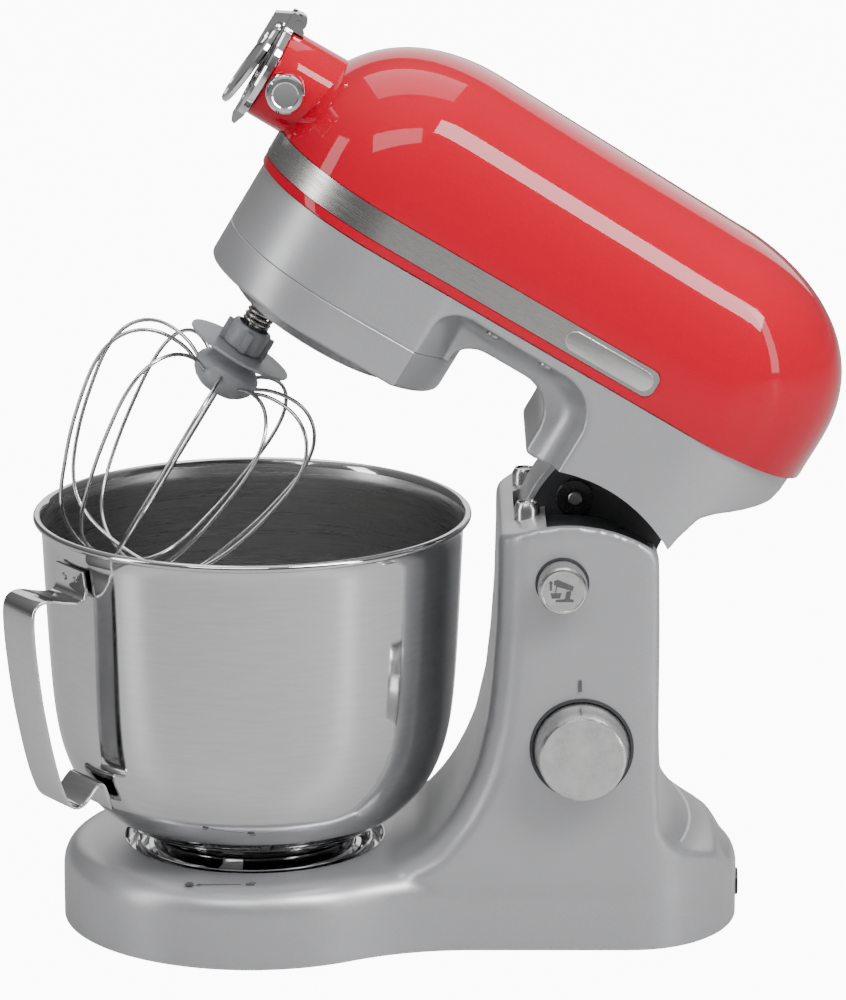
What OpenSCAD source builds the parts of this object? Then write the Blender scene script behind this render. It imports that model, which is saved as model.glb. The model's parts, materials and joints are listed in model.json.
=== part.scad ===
// Tilt-head stand mixer with a planetary whisk and a steel bowl, in millimetres.
// Z is up from the table, the bowl's axis stands at X = Y = 0 and the bowl end points to -X.
// Pieces of the head are drawn with the head down and swung up about the hinge by head_tilt.

/* [Stand] */
// Radius of the round front of the base
base_r = 97.5; // [95:0.5:99]
// Height of the base's top above the table
base_top = 43; // [42:0.5:44]
// Half the width of the base behind the bowl
base_half_w = 67.5; // [67.2:0.1:68]
// Wall of the die-cast stand
stand_wall = 3; // [2.6:0.1:3.2]
// Radius of the curved top edge of the column
column_arc_r = 77; // [76.5:0.1:77.2]

/* [Head] */
// Tilt of the raised head in degrees
head_tilt = 30.7; // [0:0.1:30.7]
// Half the width of the head at the trim band
head_half_w = 65; // [64.5:0.1:65.5]
// Wall of the head's covers
head_wall = 2.5; // [2.2:0.1:2.8]
// Radius of the attachment hub's bore
hub_bore_r = 12.5; // [12:0.1:13]

/* [Bowl and whisk] */
// Outside radius of the bowl at the rim bead
bowl_rim_r = 110; // [109:0.5:111]
// Height of the rim above the table
bowl_rim_z = 213; // [212:0.5:214]
// Sheet thickness of the bowl
bowl_wall = 1.2; // [1:0.1:1.4]
// Number of wire loops in the whisk
whisk_loops = 5; // [4:1:6]
// Radius of one whisk wire
wire_r = 1.05; // [0.9:0.05:1.2]

/* [Drive] */
// Tooth size of the planetary gears
planet_module = 1.75; // [1.75]
// Teeth of the fixed ring gear
ring_teeth = 48; // [48]
// Teeth of the pinion on the whisk's spindle
pinion_teeth = 16; // [16]
// Travel of the tilt release button
button_travel = 3.5; // [2:0.5:4]

/* [Hidden] */
$fn = 48;
eps = 0.01;
foot_h = 3;                       // the rubber feet lift the base off the table
hinge_x = 196.5;                  // the head's hinge axis runs along Y through this point
hinge_z = 196;
arc_x = 156.9;                    // centre of the column's curved top edge
arc_z = 144.3;
seam_z = 266.4;                   // joint between the head's red cover and silver housing
band_z0 = 271.5;
band_z1 = 286;
part_z = 234;                     // joint between the silver housing and the gearbox cover
orbit_r = planet_module * (ring_teeth - pinion_teeth) / 2;
hub_z = 307;
lug_half_w = 21;
lug_r = 65.7;                     // front of the hinge lug, an arc about the hinge
beater_x = -orbit_r;
knob_x = 164;
knob_z = 108;
button_x = 153.9;
button_z = 192.6;
gear_m = 1.5;                     // module of the spur stage
gear_teeth = 52;
counter_teeth = 14;
counter_x = gear_m * (gear_teeth + counter_teeth) / 2;
motor_x = 165;
belt_ratio = 5;
motor_pulley_r = 7;
big_pulley_r = motor_pulley_r * belt_ratio;

// ---- shared shapes ----

// Places what is drawn with the head down on the raised head
module on_head() {
  translate([hinge_x, 0, hinge_z]) rotate([0, head_tilt, 0])
    translate([-hinge_x, 0, -hinge_z]) children();
}

// Turns an outline drawn in X and Z into a slab between two Y values
module slab_y(y0, y1) translate([0, y1, 0]) rotate([90, 0, 0]) linear_extrude(y1 - y0) children();

// Turns an outline drawn in Y and Z into a bar between two X values
module bar_x(x0, x1) translate([x0, 0, 0]) rotate([90, 0, 90]) linear_extrude(x1 - x0) children();

// Cylinder along Y between two Y values, through a point given in X and Z
module rod_y(x, z, r, y0, y1) translate([x, y1, z]) rotate([90, 0, 0]) cylinder(r = r, h = y1 - y0);

// Cylinder along X between two X values, through a height
module rod_x(z, r, x0, x1) translate([x0, 0, z]) rotate([0, 90, 0]) cylinder(r = r, h = x1 - x0);

// Solid through a stack of rings that all have the same number of points
module loft(rings) {
  n = len(rings[0]);
  m = len(rings);
  polyhedron(
    points = [for (r = rings, p = r) p],
    faces = concat(
      [[for (i = [0:n - 1]) i]],
      [for (j = [0:m - 2], i = [0:n - 1])
        [j * n + i, (j + 1) * n + i, (j + 1) * n + (i + 1) % n, j * n + (i + 1) % n]],
      [[for (i = [n - 1:-1:0]) (m - 1) * n + i]]),
    convexity = 6);
}

// Tube through a stack of rings that closes on itself
module loft_loop(rings) {
  n = len(rings[0]);
  m = len(rings);
  polyhedron(
    points = [for (r = rings, p = r) p],
    faces = [for (j = [0:m - 1], i = [0:n - 1]) let (k = (j + 1) % m)
      [j * n + i, k * n + i, k * n + (i + 1) % n, j * n + (i + 1) % n]],
    convexity = 8);
}

function arc(cx, cy, rx, ry, a0, a1, n) =
  [for (i = [0:n]) let (a = a0 + (a1 - a0) * i / n) [cx + rx * cos(a), cy + ry * sin(a)]];
function mirrored(half) = concat(half, [for (i = [len(half) - 1:-1:0]) [half[i][0], -half[i][1]]]);
function lift(outline, z) = [for (p = outline) [p[0], p[1], z]];
function reversed(outline) = [for (i = [len(outline) - 1:-1:0]) outline[i]];

// Spur gear outline: straight-sided teeth, slim enough to leave backlash
module gear_2d(m, teeth, inner = false) {
  pitch_r = m * teeth / 2;
  tip_r = pitch_r + (inner ? -m : m);
  root_r = pitch_r + (inner ? 1.25 : -1.25) * m;
  a = 360 / teeth;
  polygon([for (i = [0:teeth - 1], k = [0:3])
    let (t = (i + [-0.29, -0.12, 0.12, 0.29][k]) * a, r = (k == 0 || k == 3) ? root_r : tip_r)
    [r * cos(t), r * sin(t)]]);
}

// ---- stand ----

blend_x = 110;
blend_r = (blend_x * blend_x + base_half_w * base_half_w - base_r * base_r) / (2 * (base_r - base_half_w));
blend_a = atan2(base_half_w + blend_r, blend_x);
tail_x = 190;
tail_l = 55;

// Plan of the base, drawn in by g all round
function base_plan(g) = mirrored(concat(
  arc(tail_x, 0, tail_l - g, base_half_w - g, 0, 90, 12),
  arc(blend_x, base_half_w + blend_r, blend_r + g, blend_r + g, 270, 180 + blend_a, 8),
  arc(0, 0, base_r - g, base_r - g, blend_a + 4, 180, 20)));

// Plan of the column at one height, with a round front and nearly square back corners
function column_plan(x0, x1, g) = let (w = base_half_w - 0.9 - g, rf = 20, rb = 3)
  mirrored(concat(
    arc(x1 - g - rb, w - rb, rb, rb, 0, 90, 2),
    arc(x0 + g + rf, w - rf, rf, rf, 90, 172, 6)));

// Front and back of the column against height: [z, front, back]
column_profile = [[38, 60, 240], [43, 68, 236.5], [48, 80, 228], [55, 89, 218.5],
  [63, 95, 208], [72, 101.5, 203], [95, 113.4, 202.4], [118, 118, 202.3], [166, 121.8, 202], [226, 122.4, 201]];
function column_rings(g) = [for (c = column_profile) lift(column_plan(c[1], c[2], g), c[0])];

// Side view of the column's top: a rounded front, then the arc that the head's skirt follows
function top_arc(drop, a1) = let (a0 = atan2(216.8 - arc_z, 130.8 - arc_x))
  arc(arc_x, arc_z, column_arc_r - drop, column_arc_r - drop, a0, a1, 16);
module column_top_2d() {
  polygon(concat([[50, 30], [110, 190], [118.5, 207], [123, 213.5]], top_arc(0, 57),
    [[203.4, 200], [260, 190], [260, 30]]));
}

module base_block() {
  for (l = [[foot_h, 34, 0], [33.5, 37.5, 0.8], [37, 40.2, 2.2], [40, base_top, 5]])
    translate([0, 0, l[0]]) linear_extrude(l[1] - l[0]) polygon(base_plan(l[2]));
}

module slot_for_lug(clear) {
  slab_y(-lug_half_w - clear, lug_half_w + clear)
    polygon([[hinge_x - lug_r - clear, 150], [hinge_x - lug_r - clear, 200], [hinge_x - lug_r + 1.2, 240],
      [230, 240], [230, 188], [190, 150]]);
}

// Stand housing: one die-cast shell for the base and the column, open below and at the hinge
module stand_housing() color([0.66, 0.67, 0.68]) difference() {
  union() {
    base_block();
    intersection() {
      loft_loop(concat(column_rings(0), reversed(column_rings(stand_wall))));
      slab_y(-80, 80) column_top_2d();
      linear_extrude(260) polygon(base_plan(0.8));
    }
    intersection() {
      translate([0, 0, 190]) linear_extrude(40) polygon(column_plan(122.3, 201, 1.2));
      slab_y(-80, 80) polygon(concat([[121, 209], [123.2, 213.2]], top_arc(0.3, 101), reversed(top_arc(4, 101)),
        [[126, 209]]));
    }
  }
  translate([0, 0, -1]) linear_extrude(base_top - stand_wall + 1) polygon(base_plan(stand_wall));
  translate([0, 0, 38]) linear_extrude(10) polygon(column_plan(100, 200, stand_wall + 1));
  slot_for_lug(1);
  translate([190, -50, 54]) cube([40, 100, 170]);
  translate([0, 0, base_top - 5]) cylinder(r = 66.2, h = 10);
  rod_y(knob_x, knob_z, 25.8, -80, -50);
  rod_y(button_x, button_z, 13.3, -80, -50);
  rod_x(17, 7, 225, 260);
  stud_holes();
}

// Rear cover: the panel over the back of the column
module rear_cover() color([0.7, 0.71, 0.72]) slab_y(-49.7, 49.7) polygon(concat(
  [for (c = column_profile) if (c[0] > 54 && c[0] < 170) [c[2], c[0]]], [[201.8, 183], [199.4, 183]],
  reversed([for (c = column_profile) if (c[0] > 54 && c[0] < 170) [c[2] - 2.4, c[0] + (c[0] < 70 ? -1 : 0)]])));

// Base plate: moulded floor that closes the base from below
module base_plate() color([0.2, 0.2, 0.21]) difference() {
  translate([0, 0, foot_h]) linear_extrude(2.2) polygon(base_plan(stand_wall + 0.3));
  for (p = foot_places) translate([p[0], p[1], 0]) cylinder(r = 7.2, h = 10);
  for (p = screw_places) translate([p[0], p[1], 0]) cylinder(r = 2.1, h = 10);
}

foot_places = [[0, 0], [-62, 42], [-62, -42], [48, 60], [48, -60], [205, 34], [205, -34]];
screw_places = [[-80, 0], [10, 82], [10, -82], [120, 56], [120, -56], [225, 0]];

// Feet: rubber pads pressed into the base plate
module feet() color([0.12, 0.12, 0.12])
  for (p = foot_places) translate([p[0], p[1], 0]) {
    cylinder(r = 10, h = foot_h);
    translate([0, 0, foot_h - eps]) cylinder(r = 7, h = 3.4);
  }

// Screws that hold the base plate
module base_screws() color([0.55, 0.55, 0.56])
  for (p = screw_places) translate([p[0], p[1], 0]) {
    translate([0, 0, foot_h - 1.6]) cylinder(r = 3.6, h = 1.6);
    translate([0, 0, foot_h - eps]) cylinder(r = 1.95, h = 12);
  }

// Bowl seat: pressed steel dish in the base with three bayonet slots round a raised ring
module bowl_seat() color([0.75, 0.75, 0.76]) difference() {
  union() {
    translate([0, 0, base_top - 7]) cylinder(r = 66, h = 1.5);
    translate([0, 0, base_top - 7]) difference() {
      cylinder(r = 66, h = 7);
      translate([0, 0, -1]) cylinder(r = 64.5, h = 10);
    }
    translate([0, 0, base_top - 7]) difference() {
      cylinder(r = 60, h = 6.4);
      translate([0, 0, -1]) cylinder(r = 58.4, h = 10);
    }
  }
  for (a = [0:120:240]) rotate([0, 0, a + 40]) translate([57, -9, base_top - 4]) cube([5, 18, 6]);
}

// Dark inner cover between the column's side walls, slotted for the hinge lug
module column_top_cover() color([0.2, 0.2, 0.21]) difference() {
  slab_y(-62.8, 62.8) polygon(concat(
    arc(arc_x, arc_z, 72.5, 72.5, 103, 58, 14), reversed(arc(arc_x, arc_z, 69.5, 69.5, 103, 58, 14))));
  slot_for_lug(1);
  translate([184, -32, 190]) cube([30, 64, 40]);
  rod_y(hinge_x, hinge_z, 56, -lug_half_w - 4, lug_half_w + 4);
  stud_holes();
}

// Two steel studs that the closed head rests on
stud_x = 137;
stud_y = 35;
stud_r = 6;
module stud_holes() for (s = [-1, 1]) translate([stud_x, stud_y * s, 200]) cylinder(r = stud_r + 0.05, h = 40);
module rest_studs() color([0.6, 0.58, 0.56])
  for (s = [-1, 1]) translate([stud_x, stud_y * s, 210]) {
    cylinder(r = stud_r, h = 14.5);
    translate([0, 0, 14.5 - eps]) cylinder(r1 = stud_r, r2 = stud_r - 1, h = 1.5);
  }

// Hinge frame: steel cradle inside the column with two ears for the pin
module hinge_frame() color([0.3, 0.3, 0.31]) difference() {
  union() {
    translate([135, -60, 150]) cube([62, 120, 4]);
    for (s = [-1, 1]) slab_y(s > 0 ? 23.5 : -29, s > 0 ? 29 : -23.5)
      polygon(concat([[150, 153], [196, 153], [198.8, 165], [198.8, 186]],
        arc(hinge_x, hinge_z, 6, 6, -60, 150, 14)));
    translate([latch_pivot[0], latch_pivot[1], 153]) cylinder(r = 2, h = 49);
  }
  rod_y(hinge_x, hinge_z, 3, -60, 60);
}

// Hinge pin, pressed in the ears of the hinge frame
module hinge_pin() color("silver") rod_y(hinge_x, hinge_z, 3, -43, 43);

// Torsion spring that takes part of the head's weight, wound beside the far ear
module hinge_spring() color([0.35, 0.35, 0.37]) {
  for (s = [-1, 1], i = [0:3]) translate([hinge_x, s * (33 + i * 2), hinge_z]) rotate([90, 0, 0])
    rotate_extrude() translate([4.2, 0]) circle(r = 0.9);
}

// Gland for the mains lead at the back of the base
module power_inlet() color([0.1, 0.1, 0.1]) difference() {
  union() {
    rod_x(17, 6.9, 236, 246);
    rod_x(17, 9, 236, 239);
  }
  rod_x(17, 3.6, 230, 250);
}

// Speed control board on its bracket in the column
module control_board() color([0.1, 0.35, 0.2]) {
  translate([135, -44, 78]) cube([56, 1.6, 62]);
  for (x = [142, 178]) translate([x, -42.5, 84]) cube([8, 12, 10]);
  translate([150, -42.5, 118]) cube([26, 16, 8]);
}

// Rotary speed switch behind the knob
module speed_switch() color([0.15, 0.15, 0.16]) difference() {
  union() {
    rod_y(knob_x, knob_z, 13, -57, -45);
    rod_y(knob_x, knob_z, 5, -61, -56);
  }
  rod_y(knob_x, knob_z, 3.06, -70, -40);
}

// Ring set in the column wall round the speed knob
module knob_bezel() color([0.14, 0.14, 0.15]) difference() {
  union() {
    rod_y(knob_x, knob_z, 25.75, -67.4, -59);
    rod_y(knob_x, knob_z, 28, -63.1, -61.2);
  }
  rod_y(knob_x, knob_z, 24.3, -70, -62.4);
  rod_y(knob_x, knob_z, 6, -70, -50);
}

// Sleeve in the column wall that guides the release button
module button_guide() color([0.14, 0.14, 0.15]) difference() {
  union() {
    rod_y(button_x, button_z, 13.25, -67, -52);
    rod_y(button_x, button_z, 15.5, -61.8, -60.2);
  }
  rod_y(button_x, button_z, 12.35, -70, -40);
}

// Speed knob: a turned cap with a shaft into the switch
module speed_knob() color([0.85, 0.85, 0.86]) difference() {
  union() {
    rod_y(knob_x, knob_z, 21.5, -85.3, -84);
    rod_y(knob_x, knob_z, 22.6, -84.01, -72);
    rod_y(knob_x, knob_z, 23.9, -72.01, -64);
    rod_y(knob_x, knob_z, 3, -64.01, -46);
  }
  rod_y(knob_x, knob_z, 1, -52, -40);
}

// Release button: a turned plug that slides in its guide, with a pusher rod for the latch
module release_button() color([0.82, 0.82, 0.83]) union() {
  rod_y(button_x, button_z, 11.6, -82.2, -81);
  rod_y(button_x, button_z, 12.3, -81.01, -54);
  rod_y(button_x, button_z, 3, -54.01, -46);
}

// Latch lever: rocks on a post when the button is pushed and lets the head go
latch_pivot = [button_x + 12, -38.5];
module latch_lever() color([0.5, 0.5, 0.52]) difference() {
  union() {
    translate([button_x - 7, -42, 186]) cube([22, 3.4, 12]);
    translate([latch_pivot[0], latch_pivot[1], 184]) cylinder(r = 4.4, h = 16);
    translate([latch_pivot[0] - 3, -38.5, 187]) cube([6, 10, 8]);
  }
  translate([latch_pivot[0], latch_pivot[1], 170]) cylinder(r = 2.05, h = 60);
}

// ---- head ----

// Rings of the head's cover: [z, front, back, half width]
cover_rings = [[seam_z + 0.1, -66, 243, head_half_w - 0.4], [291, -66.4, 244.6, head_half_w - 0.2],
  [308, -64.2, 242.5, 63], [322, -59.5, 237, 58.5], [334, -52.5, 228, 52.3], [343.5, -42.5, 212, 44.5],
  [351, -30.5, 190, 35], [356.5, -14, 163, 24.5], [360.2, 14, 118, 11]];

// Outline with two half-round ends
function stadium(x0, x1, w) = mirrored(concat(
  arc(x1 - w, 0, w, w, 5, 90, 7), arc(x0 + w, 0, w, w, 90, 175, 7)));
function cover_ring(r, g) = lift(stadium(r[1] + g, r[2] - g, max(r[3] - g, 4)),
  r[0] - (r[0] < 291 ? 0 : g * (r[0] - 291) / 70));

// Red cover of the head, with the hub's neck on its nose
module head_cover() color([0.78, 0.1, 0.12]) on_head() difference() {
  union() {
    loft(concat([for (i = [len(cover_rings) - 1:-1:0]) cover_ring(cover_rings[i], head_wall)],
      [for (r = cover_rings) cover_ring(r, 0)]));
    rod_x(hub_z, 23.5, -86, -56);
  }
  rod_x(hub_z, 17.05, -100, -20);
  rod_y(-76, hub_z, 3.05, -40, 0);
}

// Brushed steel band that lies on the cover just above its lower edge
module trim_band() color([0.72, 0.7, 0.68]) on_head() intersection() {
  translate([0, 0, band_z0]) linear_extrude(band_z1 - band_z0) difference() {
    polygon(stadium(-67.2, 250, head_half_w + 0.8));
    polygon(stadium(-66.5, 250, head_half_w + 0.1));
  }
  difference() {
    translate([-80, -80, 250]) cube([229.8, 160, 60]);
    rod_x(hub_z, 23.6, -90, -40);
  }
}

// Blank badge near the end of the band, on the knob's side
module badge() color([0.78, 0.77, 0.75]) on_head()
  slab_y(-66.6, -65.85) hull() {
    translate([104, 278.7]) circle(r = 5);
    translate([143, 278.7]) circle(r = 5);
  }

neck_2d = [[64.4, seam_z], [64.4, 261], [61.5, 254.5], [55, 249.6], [45, 246.3], [28, 244], [0, 243.2]];
function neck_section(g) = concat(
  [for (p = neck_2d) [p[0] - (p[0] > 0 ? g : 0), p[1] + (p[1] < seam_z ? g : 4)]],
  [for (i = [len(neck_2d) - 2:-1:0]) [-neck_2d[i][0] + g, neck_2d[i][1] + (neck_2d[i][1] < seam_z ? g : 4)]]);

module rear_side_2d() polygon([[104, seam_z + 4], [108, 258], [113, 251.5], [117, 244], [118.5, 236], [118.5, 205],
  [198.6, 205], [200.4, 219], [203.5, 231], [209, 236.5], [223, 243.5], [236, 250], [238.5, 256], [240, seam_z + 4]]);

// Rear part of the silver housing: round in plan, hollowed below by the arc over the column
module housing_rear(g) difference() {
  intersection() {
    translate([0, 0, 200]) linear_extrude(seam_z - 200 + g) polygon(stadium(60 + g, 240.3 - g, 64.3 - g));
    slab_y(-70, 70) offset(delta = -g) rear_side_2d();
    translate([118 + 175, 0, 200]) cylinder(r = 175 - g, h = 80);
  }
  rod_y(arc_x, arc_z, column_arc_r + 1.5 + g, -70, 70);
}

module drum(r, z0, z1, edge) {
  rotate_extrude() polygon([[0, z0], [r - edge, z0], [r - edge * 0.6, z0 + edge * 0.12], [r - edge * 0.25, z0 + edge * 0.4],
    [r, z0 + edge], [r, z1], [0, z1]]);
}

// Silver lower housing of the head, a tub that carries the gearbox and the hinge lug
module lower_housing() color([0.66, 0.67, 0.68]) on_head() difference() {
  union() {
    drum(65.3, part_z + 0.1, seam_z, 0.5);
    bar_x(0, 190) polygon([for (p = neck_section(0)) [p[0], min(p[1], seam_z)]]);
    housing_rear(0);
  }
  translate([0, 0, part_z - 1]) cylinder(r = 62.8, h = 60);
  bar_x(10, 176) polygon(neck_section(head_wall));
  intersection() {
    housing_rear(head_wall);
    translate([-100, -100, 200]) cube([400, 200, 80]);
  }
  translate([90, -61.8, 255]) cube([100, 123.6, 30]);
  slab_y(-lug_half_w - 0.05, lug_half_w + 0.05) polygon([[131, 205], [131, 230], [196, 230], [205, 214], [205, 200]]);
  for (s = [-1, 1]) slab_y(stud_y * s - 8, stud_y * s + 8) polygon([[stud_x - 16, 200], [stud_x - 9, 227],
    [stud_x + 7.5, 227], [stud_x + 7.5, 200]]);
  for (p = housing_screw_places) {
    translate([p[0], p[1], 240]) cylinder(r = 2.05, h = 30);
    translate([p[0], p[1], 230]) cylinder(r = 3.8, h = 20.2);
  }
}

// Gearbox cover: the shallow silver cup under the nose of the head
module gearbox_cover() color([0.64, 0.65, 0.66]) on_head() difference() {
  drum(65.1, 213.5, part_z, 9);
  translate([0, 0, 216]) cylinder(r = 61, h = 30);
  translate([0, 0, 200]) cylinder(r = 49, h = 30);
}

// Hinge lug: the dark arm between the housing and the hinge pin
lug_boss = [151.5, 202.4];
module hinge_lug() color([0.2, 0.2, 0.21]) on_head() difference() {
  union() {
    slab_y(-lug_half_w, lug_half_w) polygon(concat(
      [[197.5, 226], [199.5, 212], [200.5, 201]],
      arc(hinge_x, hinge_z, 5.5, 5.5, 30, -80, 10),
      [[186, 189.5], [160, 181]],
      arc(hinge_x, hinge_z, lug_r, lug_r, 196.6, 156, 8),
      [[138, 226]]));
    translate([146, -40, 226]) cube([52, 80, 4]);
  }
  rod_y(hinge_x, hinge_z, 3.05, -60, 60);
  slab_y(-lug_half_w + 4, lug_half_w - 4) polygon([[142, 231], [142, 190], [182, 196], [186, 206], [190, 231]]);
}

// Round cap with its screw on the lug's side
module lug_cap() color([0.08, 0.08, 0.08]) on_head() {
  rod_y(lug_boss[0], lug_boss[1], 9.5, -lug_half_w - 1.6, -lug_half_w);
  rod_y(lug_boss[0], lug_boss[1], 3, -lug_half_w - 2.6, -lug_half_w - 1.59);
}

// Cast frame that holds the ring gear, the shafts and the motor
module gear_frame() color([0.5, 0.5, 0.52]) on_head() difference() {
  union() {
    translate([0, 0, 243]) cylinder(r = 60.5, h = 5);
    translate([0, 0, 247]) cylinder(r = 14, h = 22);
    for (s = [-1, 1]) translate([-8, s * 47.5 - 5.5, 247]) cube([16, 11, 39]);
    translate([-8, -52, 282.5]) cube([170, 104, 4]);
    translate([counter_x, 0, 286]) cylinder(r = 11, h = 8);
    translate([motor_x - 44, -52, 270]) cube([8, 104, 13]);
  }
  translate([0, 0, 200]) cylinder(r = 8.05, h = 130);
  translate([counter_x, 0, 260]) cylinder(r = 5.05, h = 80);
  translate([motor_x - 40, -40, 268]) cube([80, 80, 37]);
  translate([-2, -30, 280]) cube([20, 60, 10]);
}

// Fixed internal gear that the whisk's pinion rolls round
module ring_gear() color([0.75, 0.74, 0.7]) on_head() translate([0, 0, 232]) difference() {
  cylinder(r = 50, h = 11);
  translate([0, 0, -1]) linear_extrude(13) rotate(180 / ring_teeth) gear_2d(planet_module, ring_teeth, true);
}

// Motor: laminated stator with two windings
module motor_stator() color([0.45, 0.3, 0.2]) on_head() translate([motor_x, 0, 0]) difference() {
  union() {
    translate([0, 0, 275]) cylinder(r = 38, h = 28);
    translate([0, 0, 268]) cylinder(r = 32, h = 42);
  }
  translate([0, 0, 250]) cylinder(r = 22, h = 80);
}

// Two end brackets that hold the motor's bearings
module motor_mount() color([0.35, 0.35, 0.36]) on_head() translate([motor_x, 0, 0]) difference() {
  union() {
    translate([-39, -39, 262]) cube([78, 78, 3]);
    translate([-39, -39, 313]) cube([78, 78, 3]);
    for (x = [-1, 1], y = [-1, 1]) translate([x * 34, y * 34, 262]) cylinder(r = 3.5, h = 53);
  }
  translate([0, 0, 250]) cylinder(r = 4.05, h = 80);
}

// Ribbed belt round the two pulleys
module drive_belt() color([0.1, 0.1, 0.1]) on_head() translate([0, 0, 320]) linear_extrude(7) difference() {
  hull() {
    translate([counter_x, 0]) circle(r = big_pulley_r + 2.1, $fn = 64);
    translate([motor_x, 0]) circle(r = motor_pulley_r + 2.1);
  }
  hull() {
    translate([counter_x, 0]) circle(r = big_pulley_r + 0.1, $fn = 64);
    translate([motor_x, 0]) circle(r = motor_pulley_r + 0.1);
  }
}

// Chrome ring on the mouth of the attachment hub
module hub_ring() color([0.85, 0.85, 0.86]) on_head() difference() {
  union() {
    rod_x(hub_z, 24.2, -91, -86);
    slab_y(-7, 7) polygon([[-91, 326], [-91, 339], [-86, 339], [-81, 331], [-80, 330.65], [-86.01, 330.65], [-86.01, 327]]);
    slab_y(-7, 7) polygon([[-91, 286], [-91, 278], [-88, 276], [-86.1, 282], [-86.1, 288]]);
  }
  rod_x(hub_z, 17.05, -100, -60);
  translate([-95, -4.2, 330.8]) cube([16, 8.4, 12]);
  rod_y(-86.2, 335.5, 1.5, -8, 8);
}

// Steel sleeve of the attachment hub, the bore that an attachment's tail slides into
module hub_sleeve() color([0.7, 0.7, 0.71]) on_head() difference() {
  rod_x(hub_z, 17, -90.5, -24);
  rod_x(hub_z, hub_bore_r, -100, -50);
  rod_x(hub_z, 8, -51, -34);
  rod_x(hub_z, 5.05, -40, -20);
  rod_y(-76, hub_z, 3.05, -40, 0);
}

// Screws under the head that hold the housing to the red cover
housing_screw_places = [[100, -52], [100, 52], [70, -52], [70, 52]];
module housing_screws() color([0.6, 0.6, 0.62]) on_head()
  for (p = housing_screw_places) {
    translate([p[0], p[1], 250]) cylinder(r = 2, h = 14);
    translate([p[0], p[1], 247.2]) cylinder(r = 3.6, h = 3);
  }

// Rotor of the motor with its small pulley
module motor_rotor() color([0.6, 0.58, 0.55]) on_head() translate([motor_x, 0, 0]) union() {
  translate([0, 0, 260]) cylinder(r = 4, h = 72);
  translate([0, 0, 272]) cylinder(r = 21, h = 32);
  translate([0, 0, 319]) cylinder(r = motor_pulley_r, h = 9);
}

// Countershaft: large pulley above, pinion below
module countershaft() color([0.65, 0.65, 0.6]) on_head() translate([counter_x, 0, 0]) union() {
  translate([0, 0, 271]) cylinder(r = 5, h = 60);
  translate([0, 0, 272]) linear_extrude(9) rotate(180) gear_2d(gear_m, counter_teeth);
  translate([0, 0, 319]) cylinder(r = big_pulley_r, h = 9);
}

// Planet carrier: the disc under the nose that carries the whisk's spindle round
module planet_carrier() color([0.3, 0.3, 0.31]) on_head() difference() {
  union() {
    translate([0, 0, 206]) cylinder(r = 44, h = 1.5);
    translate([0, 0, 207.49]) cylinder(r = 47, h = 19);
    translate([0, 0, 226]) cylinder(r = 12, h = 16);
    translate([0, 0, 226]) cylinder(r = 8, h = 46);
  }
  translate([beater_x, 0, 190]) cylinder(r = 7.05, h = 60);
  translate([beater_x, 0, 227]) cylinder(r = 14, h = 30);
}

// Large gear and bevel gear keyed on the carrier's shaft
module central_gear() color([0.82, 0.8, 0.72]) on_head() difference() {
  union() {
    translate([0, 0, 272.1]) linear_extrude(8) rotate(180 / gear_teeth) gear_2d(gear_m, gear_teeth);
    translate([0, 0, 280]) cylinder(r = 8, h = 15);
    translate([0, 0, hub_z - 12]) linear_extrude(6, scale = 0.5) rotate(180 / 16) gear_2d(1.5, 16);
  }
  translate([0, 0, 271]) cylinder(r = 4, h = 5);
}

// Drive shaft of the attachment hub with its bevel gear and square end
module hub_drive() color([0.7, 0.7, 0.66]) on_head() union() {
  rod_x(hub_z, 5, -42, -12);
  translate([-12, 0, hub_z]) rotate([0, 90, 0]) linear_extrude(6, scale = 0.5) gear_2d(1.5, 16);
  translate([-48, -4, hub_z - 4]) cube([10, 8, 8]);
}

// Sprung flap over the attachment hub
hub_cover_at = [-86.2, 335.5];
module hub_cover() color([0.85, 0.85, 0.86]) on_head() difference() {
  union() {
    translate([-94.2, 0, hub_z]) rotate([0, -84, 0]) cylinder(r = 24.5, h = 3.4);
    slab_y(-4, 4) polygon([[-98.5, 318], [-97.5, 336], [-90, 342], [-84, 340.5], [-82.5, 333.5], [-90, 332.2], [-92.4, 331.6], [-95, 318]]);
  }
  rod_y(hub_cover_at[0], hub_cover_at[1], 1.55, -10, 10);
}

// Pin of the flap, pressed in the hub ring
module hub_cover_pin() color("silver") on_head() rod_y(-86.2, 335.5, 1.5, -8, 8);

// Clamp knob that holds an attachment in the hub
module hub_knob() color([0.85, 0.85, 0.86]) on_head() union() {
  rod_y(-76, hub_z, 9.75, -40, -27);
  rod_y(-76, hub_z, 8.6, -41.2, -39.99);
  rod_y(-76, hub_z, 3, -27.01, -13);
}

// ---- whisk ----

// Spindle with its pinion, and the cross pin that the whisk's bayonet hooks on
module whisk_spindle() color([0.7, 0.7, 0.7]) on_head() translate([beater_x, 0, 0]) union() {
  translate([0, 0, 172]) cylinder(r = 4, h = 35);
  translate([0, 0, 206.9]) cylinder(r = 7, h = 25);
  translate([0, 0, 231.8]) linear_extrude(9.5) gear_2d(planet_module, pinion_teeth);
}

// Spring that pushes the whisk down on its bayonet
module spindle_spring() color([0.6, 0.58, 0.55]) on_head() translate([beater_x, 0, 0])
  for (i = [0:4]) translate([0, 0, 193.5 + i * 2.7]) rotate_extrude() translate([6.4, 0]) circle(r = 1.1);

// Bayonet collar of the whisk
module whisk_collar() color([0.55, 0.56, 0.58]) on_head() translate([beater_x, 0, 0]) difference() {
  union() {
    translate([0, 0, 179]) cylinder(r = 10.5, h = 13);
    for (a = [0:90:270]) rotate(a) translate([9, -2, 181]) cube([3.6, 4, 10]);
  }
  translate([0, 0, 170]) cylinder(r = 4.05, h = 60);
  translate([0, 0, 187]) cylinder(r = 7.8, h = 20);
}

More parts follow.
